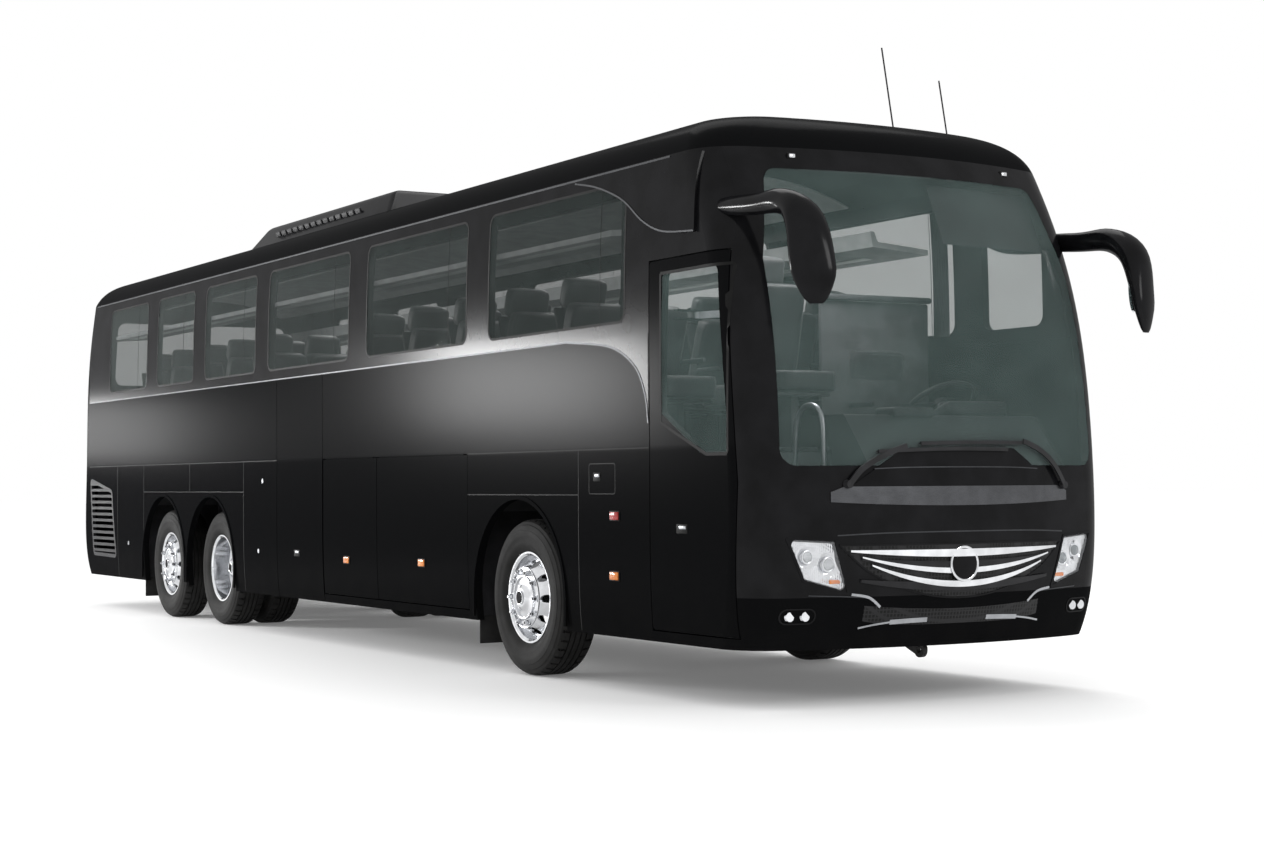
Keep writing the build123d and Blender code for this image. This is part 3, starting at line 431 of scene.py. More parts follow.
amber_lens = make_plastic(
    "amber_lens", (0.60, 0.16, 0.02), (0.78, 0.25, 0.03), 0.15, 140.0, 0.0006, 0.5)
print("plastics and rubber ready")

# %% Clear lamp cover
def make_lamp_cover():
    material, tree, shader = start_material("clear_lamp_cover", {
        "Base Color": (0.8, 0.82, 0.85, 1.0), "Roughness": 0.05, "Alpha": 0.12,
        "Specular IOR Level": 0.6,
    })
    set_inputs(shader, {"Roughness": range_of(tree, noise_of(tree, 30.0), 0.03, 0.08)})
    return material


lamp_cover = make_lamp_cover()
print("lamp cover ready")

# %% Finish every CAD node
NODE_FINISH = {
    "body_paint": paint, "gloss_black": gloss_black, "tinted_glass": side_glass,
    "screen_glass": screen_glass, "polished_alloy": polished_alloy, "tyre": tyre_rubber,
    "chassis": frame_paint, "engine": cast_grey, "lamp": lamp_cover, "red_lamp": red_lens,
    "trim": dark_trim, "floor": floor_covering, "seat_fabric": dark_trim, "rack": ceiling_cloth,
    "bright": bright_trim, "steel": satin_steel,
}
# a few nodes look unlike the rest of their slot
OWN_FINISH = {
    "grilles": dark_trim, "tail_lamps": dark_trim, "front_door": paint, "front_door_glass": screen_glass,
}
slot_of_node = {part["node"]: part["material_slot"] for part in frame["record"]["subparts"]}
for node_name, node in frame["nodes"].items():
    finish = OWN_FINISH.get(node_name, NODE_FINISH[slot_of_node[node_name]])
    if not node.material_slots:
        node.data.materials.append(finish)
    for material_slot in node.material_slots:
        material_slot.material = finish
print("finished", len(frame["nodes"]), "nodes")

# %% [markdown]
# ## From operators to pieces
# Each new piece starts as a bmesh: a few operators make its shape in place, in metres, and then one
# function turns it into an object, smooths it, gives it a finish and lets it ride on a body. Edges
# sharper than a set angle stay crisp. Many small pieces are a few rounded boxes and nothing more, so
# one call makes such a piece from a list of boxes.

# %% Make a piece that rides on a body
def add_piece(bm, name, body, material, sharp=32.0):
    bmesh.ops.remove_doubles(bm, verts=bm.verts, dist=0.00002)
    bmesh.ops.recalc_face_normals(bm, faces=bm.faces)
    mesh = bpy.data.meshes.new(name)
    bm.to_mesh(mesh)
    bm.free()
    mesh.shade_smooth()
    mesh.set_sharp_from_angle(angle=math.radians(sharp))
    mesh.materials.append(material)
    piece = bpy.data.objects.new(name, mesh)
    scene.collection.objects.link(piece)
    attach(piece, body)
    print(name, "on", body, "has", len(mesh.polygons), "faces")
    return piece


def soft_box(bm, centre, size, radius, segments=2, turn=None):
    """A box with rounded edges, added to bm."""
    box = bmesh.ops.create_cube(bm, size=1.0)["verts"]
    bmesh.ops.scale(bm, verts=box, vec=size)
    edges = list({edge for vertex in box for edge in vertex.link_edges})
    bevelled = bmesh.ops.bevel(bm, geom=edges, offset=radius, offset_type="OFFSET", segments=segments,
                               profile=0.5, affect="EDGES", material=-1)
    box = list(set(bevelled["verts"]) | {vertex for vertex in box if vertex.is_valid})
    if turn is not None:
        bmesh.ops.rotate(bm, verts=box, cent=ORIGIN, matrix=turn)
    bmesh.ops.translate(bm, verts=box, vec=centre)


def box_piece(name, body, material, *boxes):
    """A piece of rounded boxes; each box is a tuple of what soft_box takes after the mesh."""
    bm = bmesh.new()
    for box in boxes:
        soft_box(bm, *box)
    return add_piece(bm, name, body, material)


def add_copy(bm, mesh, matrix):
    moved = mesh.copy()
    moved.transform(matrix)
    bm.from_mesh(moved)
    bpy.data.meshes.remove(moved)


def skin_loops(bm, loops):
    """Bridge each loop of vertices to the next one and cap both ends."""
    for first, second in zip(loops, loops[1:]):
        edges = {edge for vertex in first + second for edge in vertex.link_edges}
        bmesh.ops.bridge_loops(bm, edges=[
            edge for edge in edges if len(edge.link_faces) < 2
            and (set(edge.verts) <= set(first) or set(edge.verts) <= set(second))
        ])
    for loop in (loops[0], loops[-1]):
        bmesh.ops.contextual_create(bm, geom=loop)


# %% [markdown]
# The coach's nose and sides are curved, so trims are drawn flat and then laid on the skin. The skin is
# found by casting rays at the CAD panels with a BVH tree, which is Blender's quick search for where a
# line meets a mesh. The Shrinkwrap modifier does the same work, but a helper keeps the patch's own
# outline exactly.

# %% Find the skin of the nose and the sides
RAY_START = 9.0
SIDE_RAY_START = 3.0
SEAM_RETRY = 0.003
DEEPEST_SKIN = 0.09


def skin_of(names):
    corners = []
    faces = []
    for name in names:
        mesh = frame["nodes"][name].data
        first = len(corners)
        corners.extend(vertex.co.copy() for vertex in mesh.vertices)
        faces.extend([first + index for index in face.vertices] for face in mesh.polygons)
    return BVHTree.FromPolygons(corners, faces)


nose_skin = skin_of(["front_mask", "windscreen", "bumpers", "headlamps"])
SIDE_STARTS = ("side_panels", "luggage_flap", "window")
side_names = [name for name in frame["nodes"] if name.startswith(SIDE_STARTS)]
side_names += ["front_door", "front_door_glass", "mid_door", "front_mask", "bumpers"]
side_skin = skin_of(side_names)
tail_skin = skin_of(["rear_wall", "engine_lid", "tail_lamps", "windows", "bumpers"])


def nose_x(y, z):
    """X of the outer skin; a ray that slips through a seam is sent again a little higher."""
    place = nose_skin.ray_cast(Vector((RAY_START, y, z)), Vector((-1.0, 0.0, 0.0)))[0]
    return place.x if place else nose_x(y, z + SEAM_RETRY)


def side_y(x, z, side):
    """Signed Y of the outer skin; a ray that slips through a panel gap takes the plain half width."""
    place = side_skin.ray_cast(Vector((x, SIDE_RAY_START * side, z)), Vector((0.0, -side, 0.0)))[0]
    if place is None or side * place.y < SIDE - DEEPEST_SKIN:
        return side * SIDE
    return place.y


def tail_x(y, z):
    return tail_skin.ray_cast(Vector((-RAY_START, y, z)), Vector((1.0, 0.0, 0.0)))[0].x


def on_nose(y, z):
    return Vector((nose_x(y, z), y, z)), Vector((1.0, 0.0, 0.0))


def on_tail(y, z):
    return Vector((tail_x(y, z), y, z)), Vector((-1.0, 0.0, 0.0))


def on_side(side):
    def surface(x, z):
        return Vector((x, side_y(x, z, side), z)), Vector((0.0, side, 0.0))
    return surface


print("skin finders ready")

# %% [markdown]
# A trim that follows a curved panel is a flat grid first. Each of its points has two shares, u along it
# and v across it. An outline turns the shares into a place on the panel, the skin gives the third
# coordinate, and an extrusion gives the trim its thickness. A ribbon is such a grid along a path: either
# a smooth line through a few chosen points, or the round trip of a box with rounded corners. The
# profile of a ribbon is its width, its lift over the skin and its thickness.

# %% Lay patches and ribbons on the skin
def lay_patch(bm, surface, outline, steps, lift, thickness):
    made = bmesh.ops.create_grid(bm, x_segments=steps[0], y_segments=steps[1], size=0.5)["verts"]
    for vertex in made:
        place, outward = surface(*outline(vertex.co.x + 0.5, vertex.co.y + 0.5))
        vertex.co = place + lift * outward
    faces = list({face for vertex in made for face in vertex.link_faces})
    grown = bmesh.ops.extrude_face_region(bm, geom=faces, use_keep_orig=True)["geom"]
    back = [part for part in grown if isinstance(part, bmesh.types.BMVert)]
    bmesh.ops.translate(bm, verts=back, vec=-thickness * outward)


def smooth_path(*points):
    """A smooth line through the points, as a function of a share from 0 to 1."""
    spans = len(points) - 1

    def path(share):
        span = min(int(share * spans), spans - 1)
        t = share * spans - span
        before, first, second, after = (
            points[max(0, min(spans, span + step))] for step in (-1, 0, 1, 2))
        return tuple(
            b + 0.5 * t * (c - a + t * (2 * a - 5 * b + 4 * c - d + t * (3 * (b - c) + d - a)))
            for a, b, c, d in zip(before, first, second, after)
        )
    return path


def straight_path(*points):
    """Straight runs through the points, at an even pace."""
    lengths = [math.dist(points[index], points[index + 1]) for index in range(len(points) - 1)]

    def path(share):
        left = share * sum(lengths)
        for index, length in enumerate(lengths):
            if left <= length or index == len(lengths) - 1:
                part = min(1.0, left / length)
                return tuple(a + part * (b - a) for a, b in zip(points[index], points[index + 1]))
            left -= length
    return path


def box_path(x0, x1, z0, z1, radius):
    """Once round a box with rounded corners."""
    across, up, quarter = x1 - x0 - 2 * radius, z1 - z0 - 2 * radius, radius * math.pi / 2
    corners = [((x1 - radius, z0 + radius), across), ((x1 - radius, z1 - radius), up),
               ((x0 + radius, z1 - radius), across), ((x0 + radius, z0 + radius), up)]

    def path(share):
        left = share * (2 * (across + up) + 4 * quarter)
        for index, (centre, run) in enumerate(corners):
            heading = index * math.pi / 2
            start = heading - math.pi / 2
            if left > run + quarter and index < 3:
                left -= run + quarter
                continue
            turned = max(0.0, left - run) / radius
            back = max(0.0, run - left)
            return (centre[0] + radius * math.cos(start + turned) - back * math.cos(heading),
                    centre[1] + radius * math.sin(start + turned) - back * math.sin(heading))
    return path


def ribbon(bm, surface, path, width, lift=0.003, thickness=0.004, steps=60):
    glance = 0.002

    def outline(u, v):
        place = path(u)
        ahead = path(min(1.0, u + glance))
        behind = path(max(0.0, u - glance))
        run, rise = ahead[0] - behind[0], ahead[1] - behind[1]
        reach = (v - 0.5) * width / math.hypot(run, rise)
        return place[0] - rise * reach, place[1] + run * reach
    lay_patch(bm, surface, outline, (steps, 1), lift, thickness)


def patch_piece(name, material, surface, outline, steps, lift, thickness):
    """A piece on the coach that is one patch and nothing more."""
    bm = bmesh.new()
    lay_patch(bm, surface, outline, steps, lift, thickness)
    add_piece(bm, name, "coach", material)


print("patches and ribbons ready")

# %% [markdown]
# ## Tyres
# A coach tyre is a revolved section, so its half profile is drawn once as points from bead to bead and
# spun about the axle. The four long grooves are part of the profile. The cross slots in the shoulders
# are cut after the spin: every fourth tread face there is pushed in, which leaves blocks between.

# %% Tyre section
TYRE_RADIUS = AXLE_HEIGHT
TYRE_HALF = 0.147
TWIN_SPACING = 0.335
TREAD_STEPS = 180
TREAD_DROP = 0.0005
GROOVE_DEPTH = 0.013
GROOVES = (-0.058, -0.02, 0.02, 0.058)
GROOVE_HALF = 0.006
SLOT_FROM, SLOT_TO = 0.064, 0.11
SLOT_RADIUS = 0.5
SLOT_DEPTH = 0.008
HALF_SECTION = [
    (0.098, 0.2866), (0.112, 0.300), (0.118, 0.312), (0.128, 0.322), (0.1385, 0.345), (0.1435, 0.362),
    (0.1445, 0.390), (0.1465, 0.394), (0.147, 0.415), (0.1455, 0.436), (0.1435, 0.438), (0.138, 0.460),
    (0.135, 0.470), (0.130, 0.474), (0.1225, 0.492), (0.112, 0.4985), (0.098, 0.5055), (0.087, 0.508),
]


def tyre_section():
    """Points (Y, radius) from the inner bead over the tread to the outer bead."""
    inner = [(-y, radius) for y, radius in HALF_SECTION]
    lip, bottom = TYRE_RADIUS - TREAD_DROP, TYRE_RADIUS - GROOVE_DEPTH
    profile = ((-1.0, lip), (-0.6, bottom), (0.6, bottom), (1.0, lip))
    tread = [(groove + share * GROOVE_HALF, radius) for groove in GROOVES for share, radius in profile]
    return inner + tread + HALF_SECTION[::-1]


def spin_section(bm, points, steps):
    """Spin closed (Y, radius) points about the Y axis."""
    first = [bm.verts.new((0.0, y, radius)) for y, radius in points]
    edges = [bm.edges.new((first[i], first[(i + 1) % len(first)])) for i in range(len(first))]
    bmesh.ops.spin(bm, geom=first + edges, cent=ORIGIN, axis=(0.0, 1.0, 0.0), dvec=ORIGIN,
                   angle=math.tau, steps=steps, use_merge=True, use_duplicate=False)


def add_tyre(bm, centre):
    fresh = bmesh.new()
    spin_section(fresh, tyre_section(), TREAD_STEPS)
    slots = []
    for face in fresh.faces:
        middle = face.calc_center_median()
        radius = math.hypot(middle.x, middle.z)
        step = round(math.atan2(middle.x, middle.z) / math.tau * TREAD_STEPS - 0.5)
        if SLOT_FROM < abs(middle.y) < SLOT_TO and radius > SLOT_RADIUS and step % 4 == 0:
            slots.append(face)
    pushed = bmesh.ops.extrude_discrete_faces(fresh, faces=slots)["faces"]
    for face in pushed:
        for vertex in face.verts:
            inward = Vector((vertex.co.x, 0.0, vertex.co.z)).normalized()
            vertex.co -= inward * SLOT_DEPTH
    bmesh.ops.remove_doubles(fresh, verts=fresh.verts, dist=0.00002)
    bmesh.ops.recalc_face_normals(fresh, faces=fresh.faces)
    bmesh.ops.translate(fresh, verts=fresh.verts, vec=centre)
    shell = bpy.data.meshes.new("tyre_shell")
    fresh.to_mesh(shell)
    fresh.free()
    bm.from_mesh(shell)
    bpy.data.meshes.remove(shell)


# %% Put tyres on all six wheels
for name in [node_name for node_name in frame["nodes"] if node_name.startswith("tyre_")]:
    low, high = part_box(name)
    hand = -1 if low.y < 0 else 1
    middle_x = (low.x + high.x) / 2
    outer_y = max(abs(low.y), abs(high.y)) - TYRE_HALF
    rows = [outer_y, outer_y - TWIN_SPACING] if "drive" in name else [outer_y]
    tyre_bm = bmesh.new()
    for row in rows:
        add_tyre(tyre_bm, (middle_x, hand * row, AXLE_HEIGHT))
    made_tyre = add_piece(tyre_bm, "dressed_" + name, name.replace("tyre", "wheel"), tyre_rubber, 28.0)
    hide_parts(name)

# %% [markdown]
# ## Wheel nuts and hub rings
# Ten nuts on a circle of 335 mm hold each wheel. A nut is a six-sided cone with nearly equal ends, a
# washer below and a stud end above. Copies are placed by turning about the axle, which keeps them
# exact. The polished ring round the nuts is spun from a small section.

# %% Nuts, rings and valves
NUTS = 10
NUT_CIRCLE = 0.1675
WHEEL_FACES = {"front": 0.147, "tag": 0.127, "drive": -0.1555}
HUB_ENDS = {"front": 0.188, "tag": 0.163, "drive": 0.040}


# lower radius, upper radius, depth, sides, height of the middle: washer, nut and stud
NUT_PARTS = (
    (0.023, 0.022, 0.006, 20, 0.003), (0.0185, 0.0165, 0.026, 6, 0.018), (0.0105, 0.009, 0.012, 14, 0.036),
)


def add_round(bm, radius1, radius2, depth, segments, place, axis_turn):
    made = bmesh.ops.create_cone(bm, cap_ends=True, cap_tris=False, segments=segments, radius1=radius1,
                                 radius2=radius2, depth=depth)["verts"]
    bmesh.ops.rotate(bm, verts=made, cent=ORIGIN, matrix=axis_turn)
    bmesh.ops.translate(bm, verts=made, vec=place)


def ring_section(radius0, radius1, y0, y1, soft):
    """A flat ring's section with two rounded outer corners."""
    near = 0.3 * soft
    return [
        (y0, radius0), (y1 - soft, radius0), (y1 - near, radius0 + near), (y1, radius0 + soft),
        (y1, radius1 - soft), (y1 - near, radius1 - near), (y1 - soft, radius1), (y0, radius1),
    ]


def add_rings(bm, sections, steps, turn, place):
    """Spin ring sections about Y, turn them to their own axis and set them in their place."""
    fresh = bmesh.new()
    for section in sections:
        spin_section(fresh, section, steps)
    bmesh.ops.rotate(fresh, verts=fresh.verts, cent=ORIGIN, matrix=turn)
    rings = bpy.data.meshes.new("rings")
    fresh.to_mesh(rings)
    fresh.free()
    add_copy(bm, rings, Matrix.Translation(place))
    bpy.data.meshes.remove(rings)


for name in [node_name for node_name in frame["nodes"] if node_name.startswith("rim_")]:
    kind = name.split("_")[1]
    hand = -1 if name.endswith("right") else 1
    tyre_low, tyre_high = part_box(name.replace("rim", "tyre"))
    centre = Vector(((tyre_low.x + tyre_high.x) / 2, 0.0, AXLE_HEIGHT))
    outer_row = max(abs(tyre_low.y), abs(tyre_high.y)) - TYRE_HALF
    face_y = WHEEL_FACES[kind]
    outward = turn_about("X", -90 * hand)
    nuts_bm = bmesh.new()
    for index in range(NUTS):
        angle = math.tau * (index + 0.5) / NUTS
        spot = Vector((NUT_CIRCLE * math.sin(angle), 0.0, NUT_CIRCLE * math.cos(angle)))
        for radius1, radius2, depth, segments, lift in NUT_PARTS:
            place = centre + spot + Vector((0.0, hand * (outer_row + face_y + lift), 0.0))
            add_round(nuts_bm, radius1, radius2, depth, segments, place, outward)
    spin_bm = bmesh.new()
    spin_section(spin_bm, ring_section(0.131, 0.143, -0.004, 0.016, 0.004), 64)
    spin_section(spin_bm, ring_section(0.192, 0.2, -0.010, 0.006, 0.003), 64)
    hub_end = HUB_ENDS[kind] - face_y
    spin_section(spin_bm, ring_section(0.040, 0.049, hub_end - 0.012, hub_end + 0.004, 0.003), 48)
    bmesh.ops.translate(spin_bm, verts=spin_bm.verts, vec=(0.0, outer_row + face_y, 0.0))
    if hand < 0:
        bmesh.ops.scale(spin_bm, verts=spin_bm.verts, vec=(1.0, -1.0, 1.0))
    bmesh.ops.translate(spin_bm, verts=spin_bm.verts, vec=centre)
    body_name = name.replace("rim", "wheel")
    add_piece(nuts_bm, "nuts_" + name[4:], body_name, bright_trim, 25.0)
    add_piece(spin_bm, "rings_" + name[4:], body_name, polished_alloy, 30.0)
    badge_bm = bmesh.new()
    cap_y = hand * (outer_row + HUB_ENDS[kind] + 0.001)
    add_round(badge_bm, 0.0395, 0.036, 0.005, 40, centre + Vector((0.0, cap_y, 0.0)), outward)
    add_piece(badge_bm, "hub_plate_" + name[4:], body_name, gloss_black, 25.0)

# %% [markdown]
# ## Shut lines, edge trims and arch lips
# Body panels meet in narrow lines that read as fine dark strokes, and a coach has lighter edge trims
# along its gutter and belt. A line could be a groove cut with a Boolean, but a ribbon of rubber that
# stands half a millimetre proud looks the same from any side and keeps the panel's mesh clean. The
# lips round the wheel arches are ribbons too, along half a circle on short legs.

# %% Shut lines in the sides
LINE_PROFILE = (0.007, 0.0006, 0.002)
FLAP_LINE_PROFILE = (0.006, 0.0006, 0.002)
SQUARE_FLAP = (4.37, 4.692, 1.187, 1.37, 0.015)
SHORT_LEVELS = [(-4.645, -1.795, 1.195), (2.66, 4.234, 1.18)]
LEVEL_LINES = {
    -1: [(-6.53, -0.99, SEAM_HEIGHT), (2.66, 5.09, SEAM_HEIGHT)] + SHORT_LEVELS,
    1: [(-6.53, 0.035, SEAM_HEIGHT), (2.66, 5.95, SEAM_HEIGHT)] + SHORT_LEVELS,
}
UPRIGHT_LINES = [(-5.525, 0.345), (-4.645, 0.72), (-3.242, 1.195), (-1.795, 0.345), (4.234, 0.345)]
line_bm = bmesh.new()
for side in (-1, 1):
    skin = on_side(side)
    for x0, x1, z in LEVEL_LINES[side]:
        ribbon(line_bm, skin, straight_path((x0, z), (x1, z)), *LINE_PROFILE)
    for x, foot in UPRIGHT_LINES:
        ribbon(line_bm, skin, straight_path((x, foot), (x, SEAM_HEIGHT)), *LINE_PROFILE, 20)
    ribbon(line_bm, skin, box_path(*SQUARE_FLAP), *FLAP_LINE_PROFILE, 80)
add_piece(line_bm, "side_shut_lines", "coach", seal_rubber)

# %% Gutter, belt and sweep
GUTTER, BELT = 3.138, 2.132
GUTTER_PROFILE = (0.012, 0.004, 0.006)
BELT_PROFILE = (0.010, 0.003, 0.005)
SWEEP = smooth_path((4.105, 2.13), (4.64, 2.072), (4.93, 1.945), (5.05, 1.78), (5.088, 1.60))
SWEEP_TOP = 2.13
edge_trim = make_metal("satin_edge_trim", (0.06, 0.062, 0.066), 0.42, 300.0)
trim_bm = bmesh.new()
for side in (-1, 1):
    skin = on_side(side)
    belt_front = 5.6 if side > 0 else 4.105
    ribbon(trim_bm, skin, straight_path((-6.35, GUTTER), (5.3, GUTTER)), *GUTTER_PROFILE)
    ribbon(trim_bm, skin, straight_path((-6.5, BELT), (belt_front, BELT)), *BELT_PROFILE)
right_skin = on_side(-1)
ribbon(trim_bm, right_skin, SWEEP, *GUTTER_PROFILE)


def sweep_area(u, v):
    x, z = SWEEP(u)
    return x, z + v * (SWEEP_TOP - z)


add_piece(trim_bm, "gutter_and_belt_trims", "coach", edge_trim)
patch_piece("band_sweep", gloss_black, right_skin, sweep_area, (40, 8), 0.0012, 0.003)

# %% Arch lips
LIP_RADIUS = 0.652
LEG_FOOT = 0.36
LIP_INSET = 0.002
LIP_PROFILE = (0.026, 0.009, 0.014)
DRIVE_AXLE, TAG_AXLE = -2.685, -4.035
lip_bm = bmesh.new()


def arch_path(centre_x):
    def path(share):
        leg = AXLE_HEIGHT - LEG_FOOT
        left = share * (2 * leg + math.pi * LIP_RADIUS)
        if left < leg:
            return centre_x - LIP_RADIUS, LEG_FOOT + left
        angle = min(math.pi, (left - leg) / LIP_RADIUS)
        height = LIP_RADIUS * math.sin(angle) - max(0.0, left - leg - math.pi * LIP_RADIUS)
        return centre_x - LIP_RADIUS * math.cos(angle), AXLE_HEIGHT + height
    return path


for side in (-1, 1):
    for wheel_x in (FRONT_AXLE, DRIVE_AXLE, TAG_AXLE):
        def lip_skin(x, z, side=side):
            return Vector((x, side * (SIDE - LIP_INSET), z)), Vector((0.0, side, 0.0))
        ribbon(lip_bm, lip_skin, arch_path(wheel_x), *LIP_PROFILE, 72)
add_piece(lip_bm, "wheel_arch_lips", "coach", paint)

# %% [markdown]
# ## Wing over the front windows
# From the mirror's root a dark wing runs back over the first side window, deep in front and narrow
# behind, with a light edge. Its lower edge is a smooth line through a few points and its upper edge is
# the gutter, so one patch between the two makes it.

# %% Wings
WING_TOP = 3.128
WING_EDGE = smooth_path((4.19, 3.115), (4.479, 3.056), (4.796, 2.944), (5.045, 2.79), (5.276, 2.705),
                        (5.62, 2.672))


def wing_area(u, v):
    x, z = WING_EDGE(u)
    return x, z + v * (WING_TOP - z)


wing_bm = bmesh.new()
wing_edge_bm = bmesh.new()
for side in (-1, 1):
    lay_patch(wing_bm, on_side(side), wing_area, (40, 8), 0.018, 0.02)
    ribbon(wing_edge_bm, on_side(side), WING_EDGE, 0.010, 0.022, 0.012)
add_piece(wing_bm, "window_wings", "coach", gloss_black)
add_piece(wing_edge_bm, "window_wing_edges", "coach", edge_trim)

# %% [markdown]
# ## Seals round the glass
# Every pane sits in a rubber seal, which shows as a thin dull line round it. Windows differ only in
# their front and rear edges, so one loop makes all. The seal of a door's glass rides on that door.

# %% Window and door seals
# rear and front edge of each window from the front axle, then foot, top and corner radius of all
WINDOWS = [(-0.42, 1.41), (-2.5, -0.76), (-4.6, -2.85), (-6.22, -4.91), (-7.63, -6.55), (-9.2, -7.95)]
WINDOW_FOOT, WINDOW_TOP, WINDOW_CORNER = 2.215, 3.05, 0.07
VENT_LINE_BACK = 0.30
SEAL_PROFILE = (0.016, 0.0015, 0.003)
VENT_LINE_PROFILE = (0.004, 0.001, 0.002)
DOOR_SEAL_PROFILE = (0.018, 0.0015, 0.003)
seal_bm = bmesh.new()
for side in (-1, 1):
    for rear, front in WINDOWS:
        path = box_path(FRONT_AXLE + rear, FRONT_AXLE + front, WINDOW_FOOT, WINDOW_TOP, WINDOW_CORNER)
        ribbon(seal_bm, on_side(side), path, *SEAL_PROFILE, 200)
    for rear, front in WINDOWS:
        x = FRONT_AXLE + front - VENT_LINE_BACK
        upright = straight_path((x, WINDOW_FOOT + 0.005), (x, WINDOW_TOP - 0.005))
        ribbon(seal_bm, on_side(side), upright, *VENT_LINE_PROFILE, 6)
add_piece(seal_bm, "window_seals", "coach", seal_rubber)

door_bm = bmesh.new()
DOOR_GLASS = straight_path((5.232, 2.463), (5.94, 2.463), (5.94, 1.41), (5.72, 1.41), (5.232, 1.60),
                           (5.232, 2.463))
ribbon(door_bm, right_skin, DOOR_GLASS, *DOOR_SEAL_PROFILE, 160)
add_piece(door_bm, "front_door_seal", "front_door", seal_rubber)

# %% [markdown]
# ## Handles, locks and side markers
# Flush handles are small dark cups with a bar across, locks are round barrels, and the markers are
# amber or red lenses with a dark foot. Each rides on the panel that carries it: a lens on a luggage
# flap must lift with that flap.

# %% Handles and locks
def add_handle(name, body, x, z, side, width=0.12):
    y = side_y(x, z, side)
    cup = ((x, y - side * 0.002, z), (width, 0.010, 0.055), 0.004)
    bar = ((x + 0.1 * width, y + side * 0.004, z + 0.008), (0.62 * width, 0.010, 0.02), 0.004)
    box_piece(name + "_cup", body, seal_rubber, cup)
    box_piece(name + "_bar", body, satin_steel, bar)


add_handle("front_door_handle", "front_door", 5.458, 0.989, -1)
add_handle("mid_door_handle", "mid_door", -0.537, 0.701, -1)
add_handle("square_flap_handle", "coach", 4.47, 1.29, -1, 0.09)
lock_bm = bmesh.new()
across_turn = turn_about("X", 90)
for x, z in ((-1.316, 1.289), (-1.42, 0.696), (-5.14, 0.684)):
    for side in (-1, 1):
        y = side_y(x, z, side) + side * 0.002
        add_round(lock_bm, 0.019, 0.019, 0.008, 24, (x, y, z), across_turn)
add_piece(lock_bm, "side_locks", "coach", satin_steel)

# %% Side markers
MARKERS = [
    ("amber_marker_front", "coach", 4.681, 0.695, amber_lens),
    ("red_marker", "coach", 4.69, 1.055, red_lens),
    ("amber_marker_middle", "luggage_flap_front", 1.903, 0.692, amber_lens),
    ("amber_marker_rear", "luggage_flap_rear", 0.515, 0.674, amber_lens),
]
for name, body, x, z, lens in MARKERS:
    for side, hand in ((-1, "right"), (1, "left")):
        carrier = body if body == "coach" else f"{body}_{hand}"
        y = side_y(x, z, side)
        lens_box = ((x, y + side * 0.005, z), (0.10, 0.014, 0.048), 0.005)
        foot_box = ((x, y + side * 0.001, z), (0.118, 0.008, 0.062), 0.003)
        box_piece(f"{name}_{hand}", carrier, lens, lens_box)
        box_piece(f"{name}_foot_{hand}", carrier, seal_rubber, foot_box)

# %% [markdown]
# ## The nose
# Between windscreen and bumper the nose carries a raised bonnet panel, a wide dark silver band, a
# bowl-shaped radiator opening with crescent bars and a plain round plate, and bright slashes at the
# bumper's corners. They are patches on the nose's skin. The opening has a honeycomb grid behind the bars,
# drawn by a Voronoi texture in its bump and tone: the darker middles of its cells are painted shade in
# the grid's holes.

# %% Bonnet panel and silver band
COWL_FOOT, COWL_TOP = 1.228, 1.437
COWL_HALF_FOOT, COWL_HALF_TOP = 0.72, 0.39
BAND_HALF, BAND_STRAIGHT = 0.84, 0.76
# points, width, lift: one crease on the bonnet panel, one over the bowl, two at the bumper's corners
CREASES = [
    (((-0.58, 1.322), (-0.3, 1.33), (0.3, 1.33), (0.58, 1.322)), 0.006, 0.010),
    (((-0.80, 0.958), (-0.4, 0.97), (0.4, 0.97), (0.80, 0.958)), 0.007, 0.003),
    (((-0.95, 0.632), (-0.72, 0.622), (-0.6, 0.614)), 0.006, 0.003),
    (((0.95, 0.632), (0.72, 0.622), (0.6, 0.614)), 0.006, 0.003),
]


def cowl_area(u, v):
    half = COWL_HALF_FOOT + v * (COWL_HALF_TOP - COWL_HALF_FOOT)
    return (2 * u - 1) * half, COWL_FOOT + v * (COWL_TOP - COWL_FOOT)


def band_area(u, v):
    y = (2 * u - 1) * BAND_HALF
    foot = 1.117 + 0.023 * (y / 0.83) ** 2
    top = 1.225 - 0.03 * max(0.0, abs(y) - BAND_STRAIGHT) / (BAND_HALF - BAND_STRAIGHT)
    return y, foot + v * (top - foot)


patch_piece("bonnet_panel", gloss_black, on_nose, cowl_area, (40, 12), 0.007, 0.012)
patch_piece("silver_band", dark_silver, on_nose, band_area, (60, 4), 0.007, 0.012)
crease_bm = bmesh.new()
for points, width, lift in CREASES:
    ribbon(crease_bm, on_nose, smooth_path(*points), width, lift, 0.004)
add_piece(crease_bm, "nose_creases", "coach", edge_trim)

# %% Radiator opening
def make_grid():
    material, tree, shader = start_material("honeycomb_grid", {
        "Roughness": 0.5, "Specular IOR Level": 0.2,
    })
    cells = cells_of(tree, 45.0, 0.0)
    # the webs keep the plastic's tone; the darker cell middles are painted shade in the grid's holes
    tone = ramp_of(tree, cells, (0.018, 0.018, 0.019), (0.002, 0.002, 0.002), 0.08, 0.2)
    set_inputs(shader, {"Base Color": tone})
    bump_from(tree, shader, cells, 0.004)
    return material


BOWL_HALF, BOWL_TOP, BOWL_FOOT = 0.79, 0.905, 0.60
RIM_SPANS = 10
RIM_PROFILE = (0.010, 0.006, 0.007)


def bowl_area(u, v):
    y = (2 * u - 1) * BOWL_HALF
    foot = BOWL_TOP - (BOWL_TOP - BOWL_FOOT) * max(0.0, 1.0 - (y / BOWL_HALF) ** 2) ** 0.8
    return y, foot + v * (BOWL_TOP - foot)


